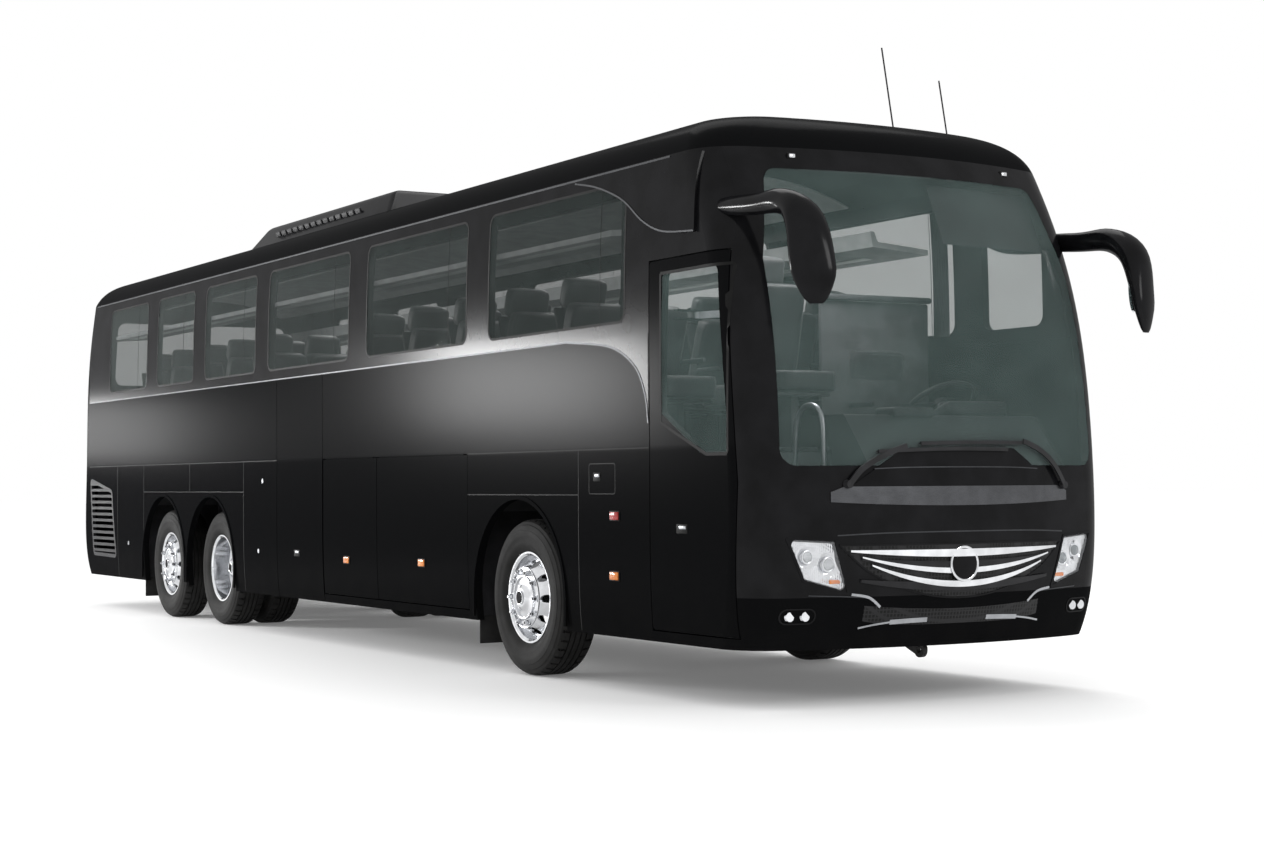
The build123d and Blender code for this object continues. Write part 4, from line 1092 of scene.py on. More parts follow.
honeycomb = make_grid()
patch_piece("radiator_opening", honeycomb, on_nose, bowl_area, (60, 10), 0.0015, 0.003)
rim_bm = bmesh.new()
bowl_foot = smooth_path(*[bowl_area(step / RIM_SPANS, 0.0) for step in range(RIM_SPANS + 1)])
bowl_top = straight_path((-BOWL_HALF, BOWL_TOP), (BOWL_HALF, BOWL_TOP))
ribbon(rim_bm, on_nose, bowl_foot, *RIM_PROFILE, 90)
ribbon(rim_bm, on_nose, bowl_top, *RIM_PROFILE, 60)
add_piece(rim_bm, "radiator_rim", "coach", gloss_black)


# %% Crescent bars and plain plate
# height of the middle, sag, half width, depth
BARS = [(0.862, 0.020, 0.73, 0.042), (0.795, 0.085, 0.66, 0.030), (0.735, 0.115, 0.60, 0.034)]


def bar_area(height, sag, half, depth):
    def area(u, v):
        y = (2 * u - 1) * half
        share = (y / half) ** 2
        middle = height - sag * (1.0 - share) + 0.5 * sag
        return y, middle + (v - 0.5) * depth * (1.0 - 0.75 * share)
    return area


bars_bm = bmesh.new()
for bar in BARS:
    lay_patch(bars_bm, on_nose, bar_area(*bar), (60, 4), 0.017, 0.017)
add_piece(bars_bm, "crescent_bars", "coach", bright_trim)
PLATE_HEIGHT = 0.79
PLATE_LIFT = 0.008
nose_turn = turn_about("Y", 90)
ring_turn = turn_about("Z", -90)
plate_place = Vector((nose_x(0.0, PLATE_HEIGHT) + PLATE_LIFT, 0.0, PLATE_HEIGHT))
plate_bm = bmesh.new()
add_round(plate_bm, 0.098, 0.092, 0.016, 64, plate_place, nose_turn)
add_piece(plate_bm, "round_plate", "coach", gloss_black)
plate_ring_bm = bmesh.new()
add_rings(plate_ring_bm, [ring_section(0.086, 0.101, 0.0, 0.012, 0.004)], 64, ring_turn, plate_place)
add_piece(plate_ring_bm, "round_plate_ring", "coach", bright_trim)

# %% Bumper: mouth, slashes and fog lamps
MOUTH_HALF = 0.62
FOG_HEIGHT = 0.518
FOG_PLACES = (0.955, 1.04)
FOG_BOX = (0.90, 1.095, 0.478, 0.558, 0.039)
# points on the left side and width; the right side mirrors them
SLASHES = [
    (((0.21, 0.481), (0.32, 0.479), (0.45, 0.474)), 0.026),
    (((0.45, 0.474), (0.55, 0.462), (0.64, 0.446)), 0.010),
    (((0.525, 0.561), (0.60, 0.615), (0.705, 0.634)), 0.014),
]


def mouth_area(u, v):
    y = (2 * u - 1) * MOUTH_HALF
    share = y / MOUTH_HALF
    top = 0.57 - 0.03 * (1.0 - share ** 2)
    foot = 0.455 + 0.03 * share ** 4
    return y, foot + v * (top - foot)


patch_piece("bumper_mouth", honeycomb, on_nose, mouth_area, (50, 4), 0.0015, 0.003)
slash_bm = bmesh.new()
fog_bm = bmesh.new()
fog_rim_bm = bmesh.new()
for side in (-1, 1):
    for points, width in SLASHES:
        ribbon(slash_bm, on_nose, smooth_path(*[(side * y, z) for y, z in points]), width, 0.005, 0.006)
    for y in FOG_PLACES:
        spot = (nose_x(side * y, FOG_HEIGHT) + 0.001, side * y, FOG_HEIGHT)
        add_round(fog_bm, 0.030, 0.026, 0.012, 32, spot, nose_turn)
    near, far, foot, top, corner = FOG_BOX
    fog_path = box_path(min(side * near, side * far), max(side * near, side * far), foot, top, corner)
    ribbon(fog_rim_bm, on_nose, fog_path, 0.008, 0.004, 0.006, 80)
add_piece(slash_bm, "bumper_slashes", "coach", satin_steel)
add_piece(fog_bm, "fog_lamp_lenses", "coach", bright_trim)
add_piece(fog_rim_bm, "fog_lamp_rims", "coach", gloss_black)

# %% [markdown]
# ## Seats
# The seats show through the side windows and the windscreen. A cushion is a crowned, closed form: a
# cube is cut into a fine grid, and Smooth rounds it as stuffing would, more at the corners than in the
# middle of a face. Sewn channels are pressed in afterwards. Each seat has a cushion, a reclined back
# and a headrest on a shell with arms, and all of a kind are joined into one mesh.

# %% Cushion shapes
def make_leather(name, dark, light):
    material, tree, shader = start_material(name, {
        "Roughness": 0.5, "Specular IOR Level": 0.3, "Sheen Weight": 0.15, "Sheen Roughness": 0.4,
    })
    tone = ramp_of(tree, noise_of(tree, 14.0, 4.0), dark, light)
    worn = range_of(tree, noise_of(tree, 50.0), 0.42, 0.6)
    set_inputs(shader, {"Base Color": tone, "Roughness": worn})
    bump_from(tree, shader, cells_of(tree, 260.0), 0.0006, 0.6)
    return material


seat_leather = make_leather("dark_seat_leather", (0.012, 0.012, 0.013), (0.026, 0.026, 0.028))
head_leather = make_leather("headrest_leather", (0.020, 0.020, 0.021), (0.036, 0.036, 0.038))
CHANNEL_WIDTH = 0.05


def cushion(size, cuts, rounds, channels=(), groove=0.006):
    """A crowned pad of the given size about the origin; channels are sewn lines across its width."""
    bm = bmesh.new()
    bmesh.ops.create_cube(bm, size=1.0)
    bmesh.ops.subdivide_edges(bm, edges=bm.edges[:], cuts=cuts, use_grid_fill=True)
    bmesh.ops.scale(bm, verts=bm.verts, vec=size)
    for _ in range(rounds):
        bmesh.ops.smooth_vert(bm, verts=bm.verts, factor=0.5,
                              use_axis_x=True, use_axis_y=True, use_axis_z=True)
    reach = [max(abs(vertex.co[axis]) for vertex in bm.verts) for axis in range(3)]
    bmesh.ops.scale(bm, verts=bm.verts, vec=[size[axis] / 2 / reach[axis] for axis in range(3)])
    for vertex in bm.verts:
        for line in channels:
            closeness = max(0.0, 1.0 - abs(vertex.co.y / size[1] - line) / CHANNEL_WIDTH)
            vertex.co.z *= 1.0 - closeness * groove / size[2] * 2
    mesh = bpy.data.meshes.new("pad")
    bm.to_mesh(mesh)
    bm.free()
    return mesh


seat_pads = {
    "cushion": cushion((0.46, 0.41, 0.15), 7, 3, (-0.22, 0.22)),
    "back": cushion((0.62, 0.42, 0.12), 9, 3, (-0.26, 0.26), 0.010),
    "head": cushion((0.2, 0.30, 0.11), 5, 3),
}
print({kind: len(mesh.polygons) for kind, mesh in seat_pads.items()}, "faces a pad")

# %% Seat rows
SEAT_PITCH = 0.8
SEAT_ROWS = 12
FIRST_ROW_X = FRONT_AXLE + 0.5
PAIR_Y = 0.74
DECK = 1.44
RECLINE = 18.5
PLACE_OFFSET = 0.22
DRIVER_SEAT = (FRONT_AXLE + 1.29, 0.64, 1.14)
MID_DOOR_ROWS = (-1.285, 0.165)

seat_spots = []
for row in range(SEAT_ROWS):
    row_x = FIRST_ROW_X - row * SEAT_PITCH
    for side in (-1, 1):
        if side < 0 and MID_DOOR_ROWS[0] < row_x < MID_DOOR_ROWS[1]:
            continue
        for offset in (-PLACE_OFFSET, PLACE_OFFSET):
            seat_spots.append((row_x, side * PAIR_Y + offset, DECK))
seat_spots.append(DRIVER_SEAT)
print(len(seat_spots), "seats")

pads_bm = {kind: bmesh.new() for kind in seat_pads}
shell_bm = bmesh.new()
lean = turn_about("Y", 90 + RECLINE, 4)
# each pad's place from the seat's spot, and its turn
PAD_PLACES = {
    "cushion": ((0.225, 0.0, 0.418), Matrix.Identity(4)),
    "back": ((-0.055, 0.0, 0.66), lean),
    "head": ((-0.165, 0.0, 1.035), lean),
}
# each shell box's place from the seat's spot, its size, edge radius and turn: back, pan, post, foot, arms
SHELL_BOXES = [
    ((-0.105, 0.0, 0.66), (0.03, 0.40, 0.60), 0.012, turn_about("Y", -RECLINE)),
    ((0.21, 0.0, 0.335), (0.36, 0.38, 0.03), 0.01, None),
    ((0.2, 0.0, 0.162), (0.24, 0.05, 0.32), 0.012, None),
    ((0.2, 0.0, 0.012), (0.30, 0.30, 0.02), 0.008, None),
    ((0.13, -0.205, 0.6), (0.30, 0.028, 0.035), 0.012, None),
    ((0.13, 0.205, 0.6), (0.30, 0.028, 0.035), 0.012, None),
]
for spot in seat_spots:
    base = Vector(spot)
    for kind, (offset, turn) in PAD_PLACES.items():
        add_copy(pads_bm[kind], seat_pads[kind], Matrix.Translation(base + Vector(offset)) @ turn)
    for offset, size, radius, turn in SHELL_BOXES:
        soft_box(shell_bm, base + Vector(offset), size, radius, turn=turn)
for kind, pad_finish in (("cushion", seat_leather), ("back", seat_leather), ("head", head_leather)):
    pads = add_piece(pads_bm[kind], "seat_" + kind + "s", "coach", pad_finish, 60.0)
seat_shells = add_piece(shell_bm, "seat_shells", "coach", dark_trim)
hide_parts("seats")

# %% [markdown]
# ## Headlamps
# A headlamp is a clear cover over a bright shell with round bowls, where the projector lenses sit. The
# cover is the CAD piece, which has the clear material already. The shell is a patch inside it: its
# depth is worked out from the distance to each bowl's middle. Fine upright ribs between the bowls
# catch the light as the pressed reflector does.

# %% Reflector shells, projectors and rims
LAMP_CORNERS = ((0.738, 0.655), (0.970, 0.724), (1.060, 0.930), (0.826, 0.915))
BOWLS = ((0.835, 0.800, 0.075), (0.955, 0.842, 0.068))


LAMP_RIM = ((0.722, 0.636), (0.985, 0.712), (1.085, 0.948), (0.815, 0.932), (0.722, 0.636))
SHELL_DEPTH, RIB_DEPTH, RIB_RATE = 0.012, 0.004, 260.0
BOWL_DEPTH, BOWL_RISE = 0.036, 0.026
BALL_DEPTH = 0.024


def lamp_outline(side):
    low_near, low_far, high_far, high_near = [Vector(corner) for corner in LAMP_CORNERS]

    def outline(u, v):
        y, z = low_near.lerp(low_far, u).lerp(high_near.lerp(high_far, u), v)
        return side * y, z
    return outline


def shell_skin(y, z):
    depth = SHELL_DEPTH + RIB_DEPTH * abs(math.sin(abs(y) * RIB_RATE))
    for bowl_y, bowl_z, radius in BOWLS:
        share = math.hypot(abs(y) - bowl_y, z - bowl_z) / radius
        depth = max(depth, BOWL_DEPTH - BOWL_RISE * share * share)
    return Vector((nose_x(y, z) - depth, y, z)), Vector((1.0, 0.0, 0.0))


shell_bm = bmesh.new()
ball_bm = bmesh.new()
ring_bm = bmesh.new()
lamp_rim_bm = bmesh.new()
corner_bm = bmesh.new()
for side in (-1, 1):
    lay_patch(shell_bm, shell_skin, lamp_outline(side), (72, 40), 0.0, 0.002)
    for bowl_y, bowl_z, radius in BOWLS:
        spot = Vector((nose_x(side * bowl_y, bowl_z) - BALL_DEPTH, side * bowl_y, bowl_z))
        ball = bmesh.ops.create_uvsphere(ball_bm, u_segments=32, v_segments=16, radius=0.42 * radius)
        bmesh.ops.scale(ball_bm, verts=ball["verts"], vec=(0.6, 1.0, 1.0))
        bmesh.ops.translate(ball_bm, verts=ball["verts"], vec=spot)
        section = ring_section(0.44 * radius, 0.56 * radius, 0.0, 0.010, 0.002)
        add_rings(ring_bm, [section], 48, ring_turn, spot - Vector((0.006, 0.0, 0.0)))
    rim_path = straight_path(*[(side * y, z) for y, z in LAMP_RIM])
    ribbon(lamp_rim_bm, on_nose, rim_path, 0.014, 0.004, 0.008, 160)
    turn_place = (nose_x(side * 0.80, 0.70) - 0.012, side * 0.80, 0.705)
    soft_box(corner_bm, turn_place, (0.012, 0.07, 0.022), 0.004)
add_piece(shell_bm, "lamp_shells", "coach", bright_trim, 20.0)
add_piece(ball_bm, "projector_lenses", "coach", screen_glass)
add_piece(ring_bm, "projector_rings", "coach", bright_trim)
add_piece(lamp_rim_bm, "lamp_rims", "coach", gloss_black)
add_piece(corner_bm, "turn_lamps", "coach", amber_lens)

# %% [markdown]
# ## Mirrors
# Two horns reach forward from the roof's front corners, bend down and end in the mirror heads. Such a
# form is a loft: ellipses set square to a line, joined by Bridge. The table gives six places along
# the line, and a smooth curve through them gives the ellipses in between.

# %% Mirror horns and glasses
# place forward of the front axle, height, heading in degrees, distance out, depth, width, yaw
HORN = [
    (2.120, 2.818, 0.0, 1.170, 0.058, 0.048, 0.0),
    (2.700, 2.766, -3.0, 1.210, 0.058, 0.048, 4.0),
    (3.000, 2.748, -10.0, 1.215, 0.070, 0.062, 12.0),
    (3.195, 2.640, -58.0, 1.215, 0.080, 0.105, 24.0),
    (3.270, 2.400, -86.0, 1.212, 0.058, 0.122, 28.0),
    (3.296, 2.180, -90.0, 1.210, 0.038, 0.105, 28.0),
]
HORN_STEPS = 30
HORN_SIDES = 40
DRIVER_HORN_SHIFT = (-0.115, -0.070)
PANE_HALF, PANE_TALL = 0.085, 0.15
PANE_PLACE = (3.222, 1.184, 2.45)
PANE_YAW = -62
horn_paths = [smooth_path(*[(row[column], row[3]) for row in HORN]) for column in (0, 1, 2, 4, 5, 6)]


def add_horn(bm, side, shift):
    loops = []
    for step in range(HORN_STEPS + 1):
        share = step / HORN_STEPS
        x, z, heading, depth, width, yaw = (path(share)[0] for path in horn_paths)
        out = horn_paths[0](share)[1]
        angle, turn = math.radians(heading), math.radians(yaw)
        normal = Vector((math.cos(angle), 0.0, math.sin(angle)))
        wide = Vector((math.sin(turn), math.cos(turn), 0.0))
        wide = (wide - normal * wide.dot(normal)).normalized()
        deep = normal.cross(wide)
        end = min(1.0, 6.0 * min(share + 0.02, 1.02 - share)) ** 0.5
        section = bmesh.ops.create_circle(bm, cap_ends=False, radius=1.0, segments=HORN_SIDES)["verts"]
        place = Vector((FRONT_AXLE + x + shift[0], -out, z + shift[1]))
        for vertex in section:
            vertex.co = place + end * (wide * width * vertex.co.x + deep * depth * vertex.co.y)
            vertex.co.y *= -side
        loops.append(section)
    skin_loops(bm, loops)


horn_bm = bmesh.new()
add_horn(horn_bm, -1, (0.0, 0.0))
add_horn(horn_bm, 1, DRIVER_HORN_SHIFT)
horns = add_piece(horn_bm, "mirror_horns", "coach", gloss_black, 50.0)
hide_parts("mirrors")
mirror_glass = make_metal("mirror_glass", (0.62, 0.64, 0.66), 0.03, 60.0, 0.000005)
glass_bm = bmesh.new()
for side, (shift_x, shift_z) in ((-1, (0.0, 0.0)), (1, DRIVER_HORN_SHIFT)):
    pane = bmesh.ops.create_circle(glass_bm, cap_ends=True, radius=1.0, segments=HORN_SIDES)["verts"]
    bmesh.ops.scale(glass_bm, verts=pane, vec=(PANE_HALF, PANE_TALL, 1.0))
    bmesh.ops.rotate(glass_bm, verts=pane, cent=ORIGIN, matrix=turn_about("X", 90))
    bmesh.ops.rotate(glass_bm, verts=pane, cent=ORIGIN, matrix=turn_about("Z", PANE_YAW * side))
    ahead, out, height = PANE_PLACE
    middle = (FRONT_AXLE + ahead + shift_x, side * out, height + shift_z)
    bmesh.ops.translate(glass_bm, verts=pane, vec=middle)
grown = bmesh.ops.extrude_face_region(glass_bm, geom=glass_bm.faces[:])["geom"]
bmesh.ops.translate(glass_bm, verts=[part for part in grown if isinstance(part, bmesh.types.BMVert)],
                    vec=(0.02, 0.0, 0.0))
add_piece(glass_bm, "mirror_glasses", "coach", mirror_glass)

# %% [markdown]
# ## Wipers
# Each wiper has a pivot below the screen, a bent arm and a long blade that lies along the screen's
# foot. They follow the curved nose, so they are ribbons too: the arm lies highest, the blade under it
# and the blade's rubber lowest, close to the glass.

# %% Wipers
WIPER_ARMS = [((-0.742, 1.238), (-0.66, 1.325), (-0.52, 1.400), (-0.385, 1.448)),
              ((0.806, 1.226), (0.72, 1.340), (0.60, 1.425), (0.455, 1.478))]
WIPER_BLADES = [((-0.56, 1.418), (-0.1, 1.432), (0.33, 1.430)),
                ((-0.29, 1.462), (0.1, 1.470), (0.52, 1.468))]
wiper_bm = bmesh.new()
for arm, blade in zip(WIPER_ARMS, WIPER_BLADES):
    ribbon(wiper_bm, on_nose, smooth_path(*arm), 0.030, 0.032, 0.012, 30)
    ribbon(wiper_bm, on_nose, smooth_path(*blade), 0.020, 0.026, 0.012, 40)
    ribbon(wiper_bm, on_nose, smooth_path(*blade), 0.006, 0.014, 0.013, 40)
    pivot_x = nose_x(*arm[0])
    add_round(wiper_bm, 0.026, 0.021, 0.034, 32, (pivot_x + 0.016, *arm[0]), nose_turn)
wipers = add_piece(wiper_bm, "screen_wipers", "coach", dark_trim)
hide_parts("wipers")

# %% [markdown]
# ## Cooling unit on the roof
# The unit is a low, long hood with soft edges that slopes down in front and behind. A cube whose top
# is scaled in and whose edges are bevelled gives it. Rows of slots in its flanks and two round fan
# grids on top let the air through.

# %% Roof unit
UNIT_REAR, UNIT_FRONT = -2.80, 0.42
UNIT_FOOT, UNIT_TOP = 3.395, 3.61
UNIT_WIDTH = 1.74
TOP_SHARE_X, TOP_SHARE_Y = 0.88, 0.84
FLANK_SLOTS = 14
FLANK_LEAN = 22
FAN_PLACES = (-1.9, -0.5)
FAN_RINGS = (0.09, 0.17, 0.25, 0.33)
unit_bm = bmesh.new()
hood = bmesh.ops.create_cube(unit_bm, size=1.0)["verts"]
bmesh.ops.scale(unit_bm, verts=hood, vec=(UNIT_FRONT - UNIT_REAR, UNIT_WIDTH, UNIT_TOP - UNIT_FOOT))
for vertex in hood:
    if vertex.co.z > 0:
        vertex.co.x *= TOP_SHARE_X
        vertex.co.y *= TOP_SHARE_Y
unit_middle = ((UNIT_FRONT + UNIT_REAR) / 2, 0.0, (UNIT_TOP + UNIT_FOOT) / 2)
bmesh.ops.translate(unit_bm, verts=hood, vec=unit_middle)
upper = [edge for edge in unit_bm.edges
         if sum(vertex.co.z for vertex in edge.verts) > UNIT_TOP + UNIT_FOOT - 0.02]
bmesh.ops.bevel(unit_bm, geom=upper, offset=0.06, offset_type="OFFSET", segments=5, profile=0.5,
                affect="EDGES", material=-1)
unit = add_piece(unit_bm, "cooling_hood", "coach", gloss_black, 40.0)
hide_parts("roof_unit")
vent_bm = bmesh.new()
for side in (-1, 1):
    for index in range(FLANK_SLOTS):
        soft_box(vent_bm, (-2.15 + index * 0.14, side * 0.815, 3.49), (0.10, 0.02, 0.05), 0.006,
                 turn=turn_about("X", -FLANK_LEAN * side))
fan_sections = [ring_section(radius - 0.012, radius + 0.012, 0.0, 0.014, 0.003) for radius in FAN_RINGS]
for x in FAN_PLACES:
    add_rings(vent_bm, fan_sections, 48, turn_about("X", 90), (x, 0.0, UNIT_TOP - 0.003))
    for spoke in range(4):
        soft_box(vent_bm, (x, 0.0, UNIT_TOP + 0.004), (0.68, 0.02, 0.012), 0.003,
                 turn=turn_about("Z", 45 * spoke))
add_piece(vent_bm, "cooling_vents", "coach", dark_trim)
hatches = []
for x in (2.6, -5.0):
    hatches.append(((x, 0.0, 3.425), (0.80, 0.62, 0.034), 0.016, 3))
    hatches.append(((x, 0.0, 3.444), (0.66, 0.48, 0.012), 0.005))
box_piece("roof_hatches", "coach", dark_trim, *hatches)

# %% Roof-edge marker lamps
MARKER_OUT, MARKER_HEIGHT = 0.773, 3.10
lenses = []
feet = []
for y in (-MARKER_OUT, MARKER_OUT):
    x = nose_x(y, MARKER_HEIGHT)
    lenses.append(((x + 0.004, y, MARKER_HEIGHT), (0.022, 0.042, 0.024), 0.006))
    feet.append(((x + 0.001, y, MARKER_HEIGHT), (0.014, 0.060, 0.036), 0.005))
box_piece("roof_marker_lenses", "coach", bright_trim, *lenses)
box_piece("roof_marker_feet", "coach", seal_rubber, *feet)

# %% [markdown]
# ## What shows behind the windscreen
# Through the clear front glass one sees the guide's seat with its headrest, the driver's seat before a
# low partition, a rolled sunblind above the driver, grab rails at the entry and the switches on the
# dashboard. They are soft boxes, cushions and bent tubes. A tube is a circle moved along a smooth line.

# %% Guide seat, partition and sunblind
GUIDE_SEAT = (4.98, -0.27, 1.44)
guide_pads = {
    "guide_cushion": (cushion((0.44, 0.42, 0.13), 7, 3, (-0.24, 0.24)), (0.10, 0.0, 0.42), 0.0),
    "guide_back": (cushion((0.56, 0.42, 0.12), 9, 3, (-0.26, 0.26), 0.010), (-0.12, 0.0, 0.76), 12.0),
    "guide_head": (cushion((0.19, 0.28, 0.11), 5, 3), (-0.19, 0.0, 1.12), 12.0),
}
for name, (pad_mesh, offset, lean) in guide_pads.items():
    pad_bm = bmesh.new()
    place = Matrix.Translation([GUIDE_SEAT[k] + offset[k] for k in range(3)])
    if name != "guide_cushion":
        place = place @ turn_about("Y", 90 + lean, 4)
    add_copy(pad_bm, pad_mesh, place)
    pad = add_piece(pad_bm, name, "coach", head_leather if name == "guide_head" else seat_leather, 60.0)
x, y, deck = GUIDE_SEAT
box_piece(
    "guide_seat_frame_and_partition", "coach", floor_covering,
    ((x - 0.185, y, deck + 0.72), (0.025, 0.38, 0.60), 0.010, 2, turn_about("Y", -12)),
    ((x + 0.08, y, deck + 0.342), (0.36, 0.38, 0.025), 0.010),
    ((x + 0.06, y, deck + 0.17), (0.20, 0.06, 0.33), 0.012),
    ((x + 0.06, y, deck + 0.012), (0.30, 0.26, 0.02), 0.008),
    ((4.72, 0.64, 1.93), (0.035, 0.86, 0.96), 0.015),
    ((4.74, 0.64, 2.43), (0.05, 0.88, 0.04), 0.015),
)


def add_tube(bm, points, radius, steps=36, around=12):
    """A round tube along a smooth line through points of three coordinates."""
    along = [smooth_path(*[(point[axis], 0.0) for point in points]) for axis in range(3)]
    spine = [Vector([path(step / steps)[0] for path in along]) for step in range(steps + 1)]
    loops = []
    for index, place in enumerate(spine):
        ahead = spine[min(steps, index + 1)] - spine[max(0, index - 1)]
        ring = bmesh.ops.create_circle(bm, cap_ends=False, radius=radius, segments=around)["verts"]
        turn = ahead.to_track_quat("Z", "Y").to_matrix()
        bmesh.ops.rotate(bm, verts=ring, cent=ORIGIN, matrix=turn)
        bmesh.ops.translate(bm, verts=ring, vec=place)
        loops.append(ring)
    skin_loops(bm, loops)


ENTRY_RAIL = [(5.20, -0.56, 1.46), (5.20, -0.56, 1.9), (5.19, -0.56, 2.12), (5.05, -0.56, 2.22),
              (4.90, -0.56, 2.12), (4.89, -0.56, 1.9), (4.89, -0.56, 1.46)]
DASH_RAIL = [(5.46, -0.50, 1.30), (5.50, -0.50, 1.62), (5.62, -0.50, 1.70), (5.74, -0.50, 1.62),
             (5.76, -0.50, 1.30)]
rail_bm = bmesh.new()
add_tube(rail_bm, ENTRY_RAIL, 0.016)
add_tube(rail_bm, DASH_RAIL, 0.015)
add_piece(rail_bm, "grab_rails", "coach", satin_steel)
BLIND_SIDE, BLIND_FOOT, BLIND_WIDE, BLIND_TALL = 0.12, 2.62, 0.86, 0.36
BLIND_BACK = 0.06


def blind_area(u, v):
    return BLIND_SIDE + u * BLIND_WIDE, BLIND_FOOT + v * BLIND_TALL


def behind_screen(y, z):
    return Vector((nose_x(y, z) - BLIND_BACK, y, z)), Vector((1.0, 0.0, 0.0))


patch_piece("sunblind", dark_trim, behind_screen, blind_area, (16, 10), 0.0, 0.004)

# %% Dashboard details
box_piece(
    "dashboard_hoods", "coach", dark_trim,
    ((5.66, 0.64, 1.66), (0.22, 0.46, 0.10), 0.04, 3, turn_about("Y", -20)),
    ((5.80, 0.05, 1.655), (0.20, 0.30, 0.06), 0.02, 3),
)
dial_bm = bmesh.new()
for y in (0.54, 0.74):
    add_round(dial_bm, 0.055, 0.052, 0.012, 40, (5.565, y, 1.685), turn_about("Y", 70))
for index in range(8):
    row, column = divmod(index, 4)
    soft_box(dial_bm, (5.62, 0.16 + 0.035 * column, 1.63 - 0.03 * row), (0.012, 0.026, 0.018), 0.003)
add_piece(dial_bm, "dials_and_switches", "coach", floor_covering)

# %% [markdown]
# ## Mud flaps and the tail
# Rubber flaps hang behind the wheels. The tail isn't in the photograph, so it has only what such a coach
# has there: ringed lamps, slots in the engine lid, and a bare plate in its holder on the bumper.

# %% Mud flaps
box_piece("mud_flaps", "coach", tyre_rubber, *[
    ((flap_x, side * 1.075, 0.32), (0.014, 0.30, 0.30), 0.005)
    for side in (-1, 1) for flap_x in (FRONT_AXLE - 0.665, -4.745)
])

# %% Tail details
tail_seal_bm = bmesh.new()
ribbon(tail_seal_bm, on_tail, box_path(-0.95, 0.95, 2.33, 3.01, 0.09), 0.018, 0.003, 0.005, 160)
add_piece(tail_seal_bm, "rear_window_seal", "coach", seal_rubber)
tail_lamp_bm = bmesh.new()
tail_rim_bm = bmesh.new()
LAMP_OUT = 1.05
LAMP_HEIGHTS = (0.98, 1.13, 1.28, 1.42)
LID_SLOTS, LID_TOP, LID_STEP = 9, 1.55, 0.045
REAR_PLATE_HEIGHT = 0.5
tail_section = ring_section(0.050, 0.060, 0.0, 0.010, 0.003)
for side in (-1, 1):
    for z in LAMP_HEIGHTS:
        x, y = tail_x(side * LAMP_OUT, z) + 0.0045, side * LAMP_OUT
        add_round(tail_lamp_bm, 0.050, 0.042, 0.012, 36, (x, y, z), turn_about("Y", -90))
        add_rings(tail_rim_bm, [tail_section], 40, turn_about("Z", 90), (x + 0.003, y, z))
add_piece(tail_lamp_bm, "tail_lamp_lenses", "coach", red_lens)
add_piece(tail_rim_bm, "tail_lamp_rims", "coach", satin_steel)
lid_heights = [LID_TOP - LID_STEP * index for index in range(LID_SLOTS)]
box_piece("engine_lid_slots", "engine_lid", dark_trim, *[
    ((tail_x(0.0, z) + 0.004, 0.0, z), (0.012, 1.30, 0.022), 0.004, 2, turn_about("Y", 18))
    for z in lid_heights
])
plate_x = tail_x(0.0, REAR_PLATE_HEIGHT)
box_piece("rear_plate_holder", "coach", dark_trim,
          ((plate_x - 0.001, 0.0, REAR_PLATE_HEIGHT), (0.012, 0.56, 0.15), 0.005))
box_piece("blank_rear_plate", "coach", ceiling_cloth,
          ((plate_x - 0.007, 0.0, REAR_PLATE_HEIGHT), (0.006, 0.52, 0.11), 0.002))
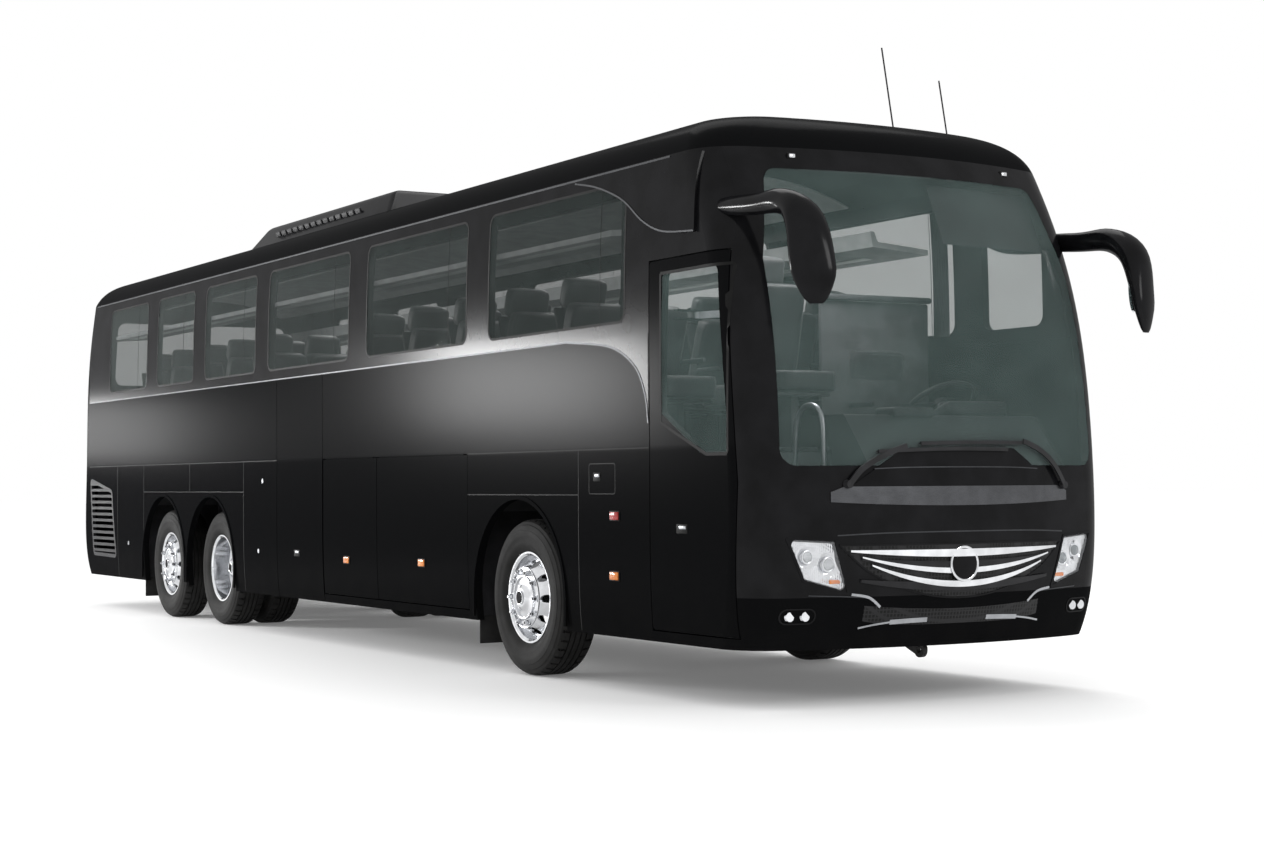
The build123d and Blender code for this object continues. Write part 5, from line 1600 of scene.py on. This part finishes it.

# %% [markdown]
# ## Cabin linings
# Through the glass one also sees the ceiling between the racks, the racks' lamp strips, and curtains
# gathered at the pillars. The ceiling is one bent sheet with a lamp strip along each rack. The curtains
# are hung sheets in soft folds.

# %% Ceiling and lamp strips
CEILING_FRONT = 4.3
CEILING_REAR = -6.2
CEILING_HALF = 0.75
CEILING_TOP, CEILING_SAG = 3.24, 0.16
ceiling_bm = bmesh.new()
ceiling_grid = bmesh.ops.create_grid(ceiling_bm, x_segments=30, y_segments=12, size=0.5)["verts"]
for vertex in ceiling_grid:
    across = vertex.co.y * 2 * CEILING_HALF
    along = CEILING_REAR + (vertex.co.x + 0.5) * (CEILING_FRONT - CEILING_REAR)
    vertex.co = (along, across, CEILING_TOP - CEILING_SAG * (across / CEILING_HALF) ** 2)
bmesh.ops.solidify(ceiling_bm, geom=ceiling_bm.faces[:], thickness=0.01)
add_piece(ceiling_bm, "ceiling_lining", "coach", ceiling_cloth, 40.0)
strip_finish = make_plastic(
    "pale_lamp_strip", (0.62, 0.64, 0.63), (0.70, 0.72, 0.71), 0.4, 300.0, 0.0001)
strip_middle = (CEILING_FRONT + CEILING_REAR) / 2
strip_length = CEILING_FRONT - CEILING_REAR - 0.4
strips = []
for side in (-1, 1):
    strips.append(((strip_middle, side * 0.80, 2.83), (strip_length, 0.03, 0.035), 0.008))
    strips.append(((strip_middle, side * 1.06, 2.775), (strip_length, 0.12, 0.02), 0.006))
box_piece("rack_lamp_strips", "coach", strip_finish, *strips)

# %% Curtains
CURTAIN_TOP = 3.02
CURTAIN_FOOT = 2.2
FOLDS = 6
FOLD_DEPTH = 0.016
CURTAIN_WIDTH = 0.17
CURTAIN_INSET = 0.085
CURTAIN_PILLARS = (4.72, 2.815, 0.73, -1.35)
curtain_cloth = make_plastic(
    "curtain_cloth", (0.030, 0.031, 0.033), (0.052, 0.053, 0.056), 0.9, 900.0, 0.0003, 0.05)


def hang_curtain(name, x, side):
    """A gathered curtain beside a pillar, in even folds, drawn in a little at half height."""
    bm = bmesh.new()
    length = CURTAIN_TOP - CURTAIN_FOOT
    grid = bmesh.ops.create_grid(bm, x_segments=FOLDS * 8, y_segments=16, size=0.5)["verts"]
    for vertex in grid:
        u = vertex.co.x + 0.5
        v = vertex.co.y + 0.5
        z = CURTAIN_FOOT + v * length
        spread = 1.0 - 0.12 * math.sin(v * math.pi)
        wave = FOLD_DEPTH * math.sin(u * FOLDS * math.tau + 0.6 * math.sin(3.0 * v))
        inner_y = abs(side_y(x, z, side)) - CURTAIN_INSET
        vertex.co = (x + (u - 0.5) * CURTAIN_WIDTH * spread, side * (inner_y + wave), z)
    area = sum(face.calc_area() for face in bm.faces)
    curtain = add_piece(bm, name, "coach", curtain_cloth, 180.0)


for number, pillar_x in enumerate(CURTAIN_PILLARS):
    for side, hand in ((-1, "right"), (1, "left")):
        hang_curtain(f"curtain_{hand}_{number}", pillar_x, side)
